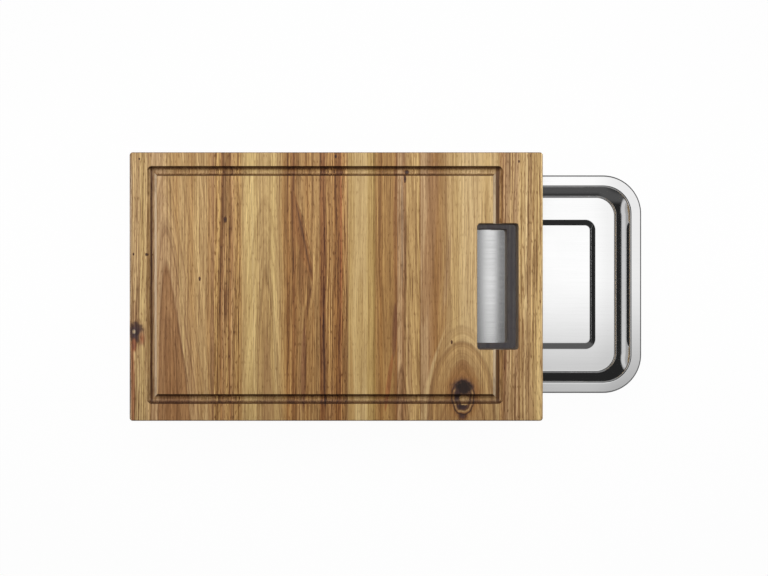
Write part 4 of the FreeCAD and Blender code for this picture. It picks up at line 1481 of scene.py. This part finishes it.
@dataclass
class Feet:
    """Four rubber feet under the side rails, each held by one slotted screw."""

    height: float = 4.0 * MM
    radius: float = 9.0 * MM
    sole_radius: float = 8.0 * MM
    sole_round: float = 0.6 * MM
    pocket_radius: float = 3.8 * MM
    pocket_depth: float = 2.3 * MM
    pocket_round: float = 0.2 * MM
    edge_round: float = 0.1 * MM
    hole_radius: float = 1.7 * MM
    head_radius: float = 3.3 * MM
    head_height: float = 1.7 * MM
    head_crown: float = 0.6 * MM
    head_recess: float = 0.6 * MM
    shank_radius: float = 1.6 * MM
    shank_length: float = 14.0 * MM
    point_length: float = 3.0 * MM
    slot_width: float = 0.9 * MM
    slot_depth: float = 0.8 * MM
    rubber: RubberFinish = RubberFinish("foot_rubber", (44, 43, 42))
    steel: SteelFinish = SteelFinish("screw_steel", (196, 194, 190), 0.26, 0.12, (60.0, 60.0, 60.0))

    def build(self) -> None:
        """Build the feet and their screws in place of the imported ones."""
        feet = [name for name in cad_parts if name.startswith("foot_") and "screw" not in name]
        screws = [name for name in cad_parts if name.startswith("foot_screw_")]
        corners = [sum(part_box(name), Vector()) / 2 for name in feet]
        low = Vector(min(corner[axis] for corner in corners) for axis in range(3))
        high = Vector(max(corner[axis] for corner in corners) for axis in range(3))
        spacing = {"Spacing X": high.x - low.x, "Spacing Y": high.y - low.y}
        middle = (low + high) / 2
        for name, shape_of, finish, rise, nodes in (
                ("rubber_feet", self._foot, self.rubber, 0.0, feet),
                ("foot_screws", self._screw, self.steel, self.head_recess, screws)):
            graph = Graph.group(name, "GeometryNodeTree", spacing, {"Geometry": "Geometry"})
            self._set_out(graph, shape_of, finish.material(), (middle.x, middle.y, rise))
            install(grow(name, graph, spacing), BOARD, finish.name, *nodes)

    @staticmethod
    def _set_out(graph: Graph, shape_of: Callable[[Shaping], bpy.types.NodeSocket],
                 material: bpy.types.Material, middle: tuple[float, float, float]) -> None:
        """Set one turned piece at the four corners of a rectangle.

        Args:
            graph: The geometry tree, with the rectangle's sizes as its inputs.
            shape_of: Draws the piece.
            material: What it is made of.
            middle: Middle of the rectangle.
        """
        shape = Shaping(graph)
        grid = graph.add("GeometryNodeMeshGrid", {"Size X": graph.given("Spacing X"), "Vertices X": 2,
                                                  "Size Y": graph.given("Spacing Y"), "Vertices Y": 2})
        copies = graph.add("GeometryNodeInstanceOnPoints",
                           {"Points": grid.outputs[0], "Instance": shape_of(shape)})
        shape.finish(shape.moved(copies.outputs[0], middle), material)

    def _turned(self, shape: Shaping, bends: list[Bend]) -> bpy.types.NodeSocket:
        """Turn a closed section about the vertical.

        Args:
            shape: The steps of the piece's tree.
            bends: The section's corners, out from the axis and up from the lowest one.

        Returns:
            The turned piece.
        """
        circle = shape.graph.add("GeometryNodeCurvePrimitiveCircle",
                                 {"Resolution": 40, "Radius": self.radius}).outputs[0]
        from_path = [Bend(bend.out - self.radius, -bend.down, bend.radius) for bend in bends]
        return shape.joined(shape.sweep(circle, shape.section(from_path, 5, closed=True)))

    def _foot(self, shape: Shaping) -> bpy.types.NodeSocket:
        """One foot, with the pocket for its screw's head.

        Args:
            shape: The steps of the piece's tree.

        Returns:
            The foot.
        """
        return self._turned(shape, [
            Bend(self.hole_radius, self.pocket_depth), Bend(self.pocket_radius, self.pocket_depth),
            Bend(self.pocket_radius, 0.0, self.pocket_round), Bend(self.sole_radius, 0.0, self.sole_round),
            Bend(self.radius, self.height, self.edge_round), Bend(self.hole_radius, self.height)])

    def _screw(self, shape: Shaping) -> bpy.types.NodeSocket:
        """One screw, its slotted head down.

        Args:
            shape: The steps of the piece's tree.

        Returns:
            The screw.
        """
        tip = self.head_height + self.shank_length
        body = self._turned(shape, [
            Bend(0.0, 0.0), Bend(self.head_radius, 0.0, self.head_crown),
            Bend(self.head_radius, self.head_height, self.edge_round),
            Bend(self.shank_radius, self.head_height),
            Bend(self.shank_radius, tip - self.point_length), Bend(0.0, tip)])
        cutter = shape.graph.add("GeometryNodeMeshCube",
                                 {"Size": (2.5 * self.head_radius, self.slot_width, 2 * self.slot_depth)})
        return shape.graph.add("GeometryNodeMeshBoolean", {0: body, 1: cutter.outputs[0]},
                               operation="DIFFERENCE").outputs[0]


# ---------------------------------------------------------------------------------------- the studio

@dataclass(frozen=True)
class Lamp:
    """An oblong soft box.

    Attributes:
        name: Its name.
        place: Its middle.
        aim: The point that it faces.
        size: Its width and height.
        power: Its power in watts.
        spread: The angle that its light fans out to.
        color: Colour of its light.
        mirrored: Whether shiny pieces show it.
    """

    name: str
    place: tuple[float, float, float]
    aim: tuple[float, float, float]
    size: Point
    power: float
    spread: float = math.pi
    color: tuple[float, float, float] = (1.0, 1.0, 1.0)
    mirrored: bool = True

    def build(self, lit: bpy.types.Collection) -> bpy.types.Object:
        """Hang the lamp.

        Args:
            lit: The light linking collection that says what it lights.

        Returns:
            The lamp.
        """
        light = bpy.data.lights.new(self.name, "AREA")
        light.shape, light.size, light.size_y = "RECTANGLE", *self.size
        light.energy, light.spread, light.color = self.power, self.spread, self.color
        lamp = bpy.data.objects.new(self.name, light)
        lamp.location = self.place
        lamp.rotation_euler = (Vector(self.aim) - Vector(self.place)).to_track_quat("-Z", "Y").to_euler()
        lamp.visible_glossy = self.mirrored
        lamp.light_linking.receiver_collection = lit
        bpy.context.scene.collection.objects.link(lamp)
        return lamp


@dataclass
class Studio:
    """A white table under a painted sky, with the camera straight above."""

    camera_place: tuple[float, float, float] = (-0.0045, -0.0014, 0.900)
    focal_length: float = 40.73
    table_size: float = 12.0
    fill: float = 0.24
    gleam: float = 0.35
    lamps: tuple[Lamp, ...] = (
        Lamp("back", (0.0, 0.42, 0.62), (0.0, 0.0, 0.05), (0.9, 0.35), 3.5),
        Lamp("left_end", (-0.62, 0.05, 0.34), (-0.20, 0.0, 0.05), (0.25, 0.5), 0.45, math.radians(80)),
        Lamp("right_end", (0.62, 0.05, 0.34), (0.20, 0.0, 0.05), (0.25, 0.5), 0.45, math.radians(80)))
    bounce: Lamp = Lamp("bounce", (0.0, 0.0, -0.5), (0.0, 0.0, 0.0), (1.3, 0.9), 2.0, math.radians(16),
                        color=(0.85, 1.05, 1.55), mirrored=False)

    def build(self, mirror: bpy.types.Object) -> None:
        """Set the camera, the table, the lamps and the sky.

        Args:
            mirror: A shiny piece that the sky alone lights.
        """
        bpy.context.scene.view_settings.view_transform = "Standard"
        self._camera()
        table = self._table()
        all_but_mirror = self._all_but("all_but_mirror", mirror)
        for lamp in self.lamps:
            lamp.build(all_but_mirror)
        wood_and_feet = self._all_but("wood_and_feet", mirror, table)
        self.bounce.build(wood_and_feet).light_linking.blocker_collection = wood_and_feet
        self._sky()
        LOG.info("studio: camera, table, sky and %d lamps", len(self.lamps) + 1)

    def _camera(self) -> None:
        """Hang the camera over the table, looking straight down."""
        camera = bpy.data.cameras.new("camera")
        camera.lens = self.focal_length
        stand = bpy.data.objects.new("camera", camera)
        stand.location = self.camera_place
        bpy.context.scene.collection.objects.link(stand)
        bpy.context.scene.camera = stand

    @staticmethod
    def _all_but(name: str, *pieces: bpy.types.Object) -> bpy.types.Collection:
        """Make a collection for light linking that stands for everything but some pieces.

        Args:
            name: Its name.
            pieces: The pieces left out.

        Returns:
            The collection.
        """
        collection = bpy.data.collections.new(name)
        for piece in pieces:
            collection.objects.link(piece)
        for held in collection.collection_objects:
            held.light_linking.link_state = "EXCLUDE"
        return collection

    def _table(self) -> bpy.types.Object:
        """Make a wide white table that keeps the shadow of what stands on it.

        Returns:
            The table.
        """
        mesh = bpy.data.meshes.new("table")
        half = self.table_size / 2
        mesh.from_pydata([(-half, -half, 0), (half, -half, 0), (half, half, 0), (-half, half, 0)], [],
                         [(0, 1, 2, 3)])
        table = bpy.data.objects.new("table", mesh)
        bpy.context.scene.collection.objects.link(table)
        material = bpy.data.materials.new("white_table")
        graph = Graph.cleared(material)
        camera, glossy = graph.ray("Is Camera Ray"), graph.ray("Is Glossy Ray")
        paper = graph.add("ShaderNodeBsdfDiffuse", {"Color": (0.8, 0.8, 0.8, 1.0)})
        white = graph.add("ShaderNodeEmission", {"Color": (1.0, 1.0, 1.0, 1.0),
                                                 "Strength": camera * (1.0 - self.gleam) + self.gleam})
        above = graph.add("ShaderNodeMixShader", {0: camera.most(glossy * 0.45) * 0.93 + 0.04,
                                                  1: paper.outputs[0], 2: white.outputs[0]})
        below = graph.add("ShaderNodeBsdfTransparent")
        side = graph.add("ShaderNodeNewGeometry").outputs["Backfacing"]
        both = graph.add("ShaderNodeMixShader", {0: side, 1: above.outputs[0], 2: below.outputs[0]})
        graph.add("ShaderNodeOutputMaterial", {"Surface": both.outputs[0]})
        mesh.materials.append(material)
        return table

    def _sky(self) -> None:
        """Paint the sky: white to the eye; in reflections a dim room with a bright soft box overhead.

        A reflected ray's lean is how far it goes along x or y for each metre that it climbs.
        """
        world = bpy.data.worlds.new("studio")
        bpy.context.scene.world = world
        graph = Graph.cleared(world)
        world.cycles.sampling_method = "NONE"
        x, y, z = graph.parts(graph.add("ShaderNodeTexCoord").outputs["Generated"])
        lean_x, lean_y = x / z.most(0.05), y / z.most(0.05)
        leftwards, frontwards = -lean_x, -lean_y
        soft_box = 1.0 - (lean_x * lean_x * 0.7 + lean_y * lean_y).root().rise(0.40, 0.52)
        soft_box = soft_box * lean_x.rise(-0.17, -0.13) * (1.28 - 0.67 * frontwards.rise(-0.02, 0.14))
        strips = lean_x.rise(0.106, 0.121) * (1.0 - lean_x.rise(0.125, 0.134)) * 0.7
        strips = strips + lean_x.rise(0.155, 0.185) + (1.0 - lean_x.rise(-0.3, -0.1))
        overhead = soft_box * (strips * 0.83 + 0.17) * (1.0 - lean_x.rise(0.235, 0.275) * 0.16)
        left = leftwards.rise(0.86, 0.92) - leftwards.rise(1.04, 1.09) * 0.42
        left = left - leftwards.rise(1.5, 1.8) * 0.58
        left = left * (1.0 - (lean_y.size() / lean_x.size().most(0.05)).rise(0.5, 1.1))
        front = frontwards.rise(0.45, 0.7) * (1.0 - frontwards.rise(0.9, 1.2))
        horizon = 1.0 - z.rise(0.52, 0.60)
        room = horizon * self.gleam + overhead + left + front * 0.1 + 0.03
        level = graph.blend(graph.ray("Is Camera Ray"),
                            graph.blend(graph.ray("Is Glossy Ray"), self.fill, room), 1.0)
        sky = graph.add("ShaderNodeBackground", {"Color": (1.0, 1.0, 1.0, 1.0), "Strength": level})
        graph.add("ShaderNodeOutputWorld", {"Surface": sky.outputs[0]})


def main() -> None:
    """Build the pieces in order."""
    logging.basicConfig(level=logging.INFO, format="%(name)s: %(message)s")
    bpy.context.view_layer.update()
    effects = WoodEffects()
    Panel(effects).build()
    RailFrame(effects).build()
    tray = SteelTray().build()
    Feet().build()
    Studio().build(tray)


if __name__ == "__main__":
    main()
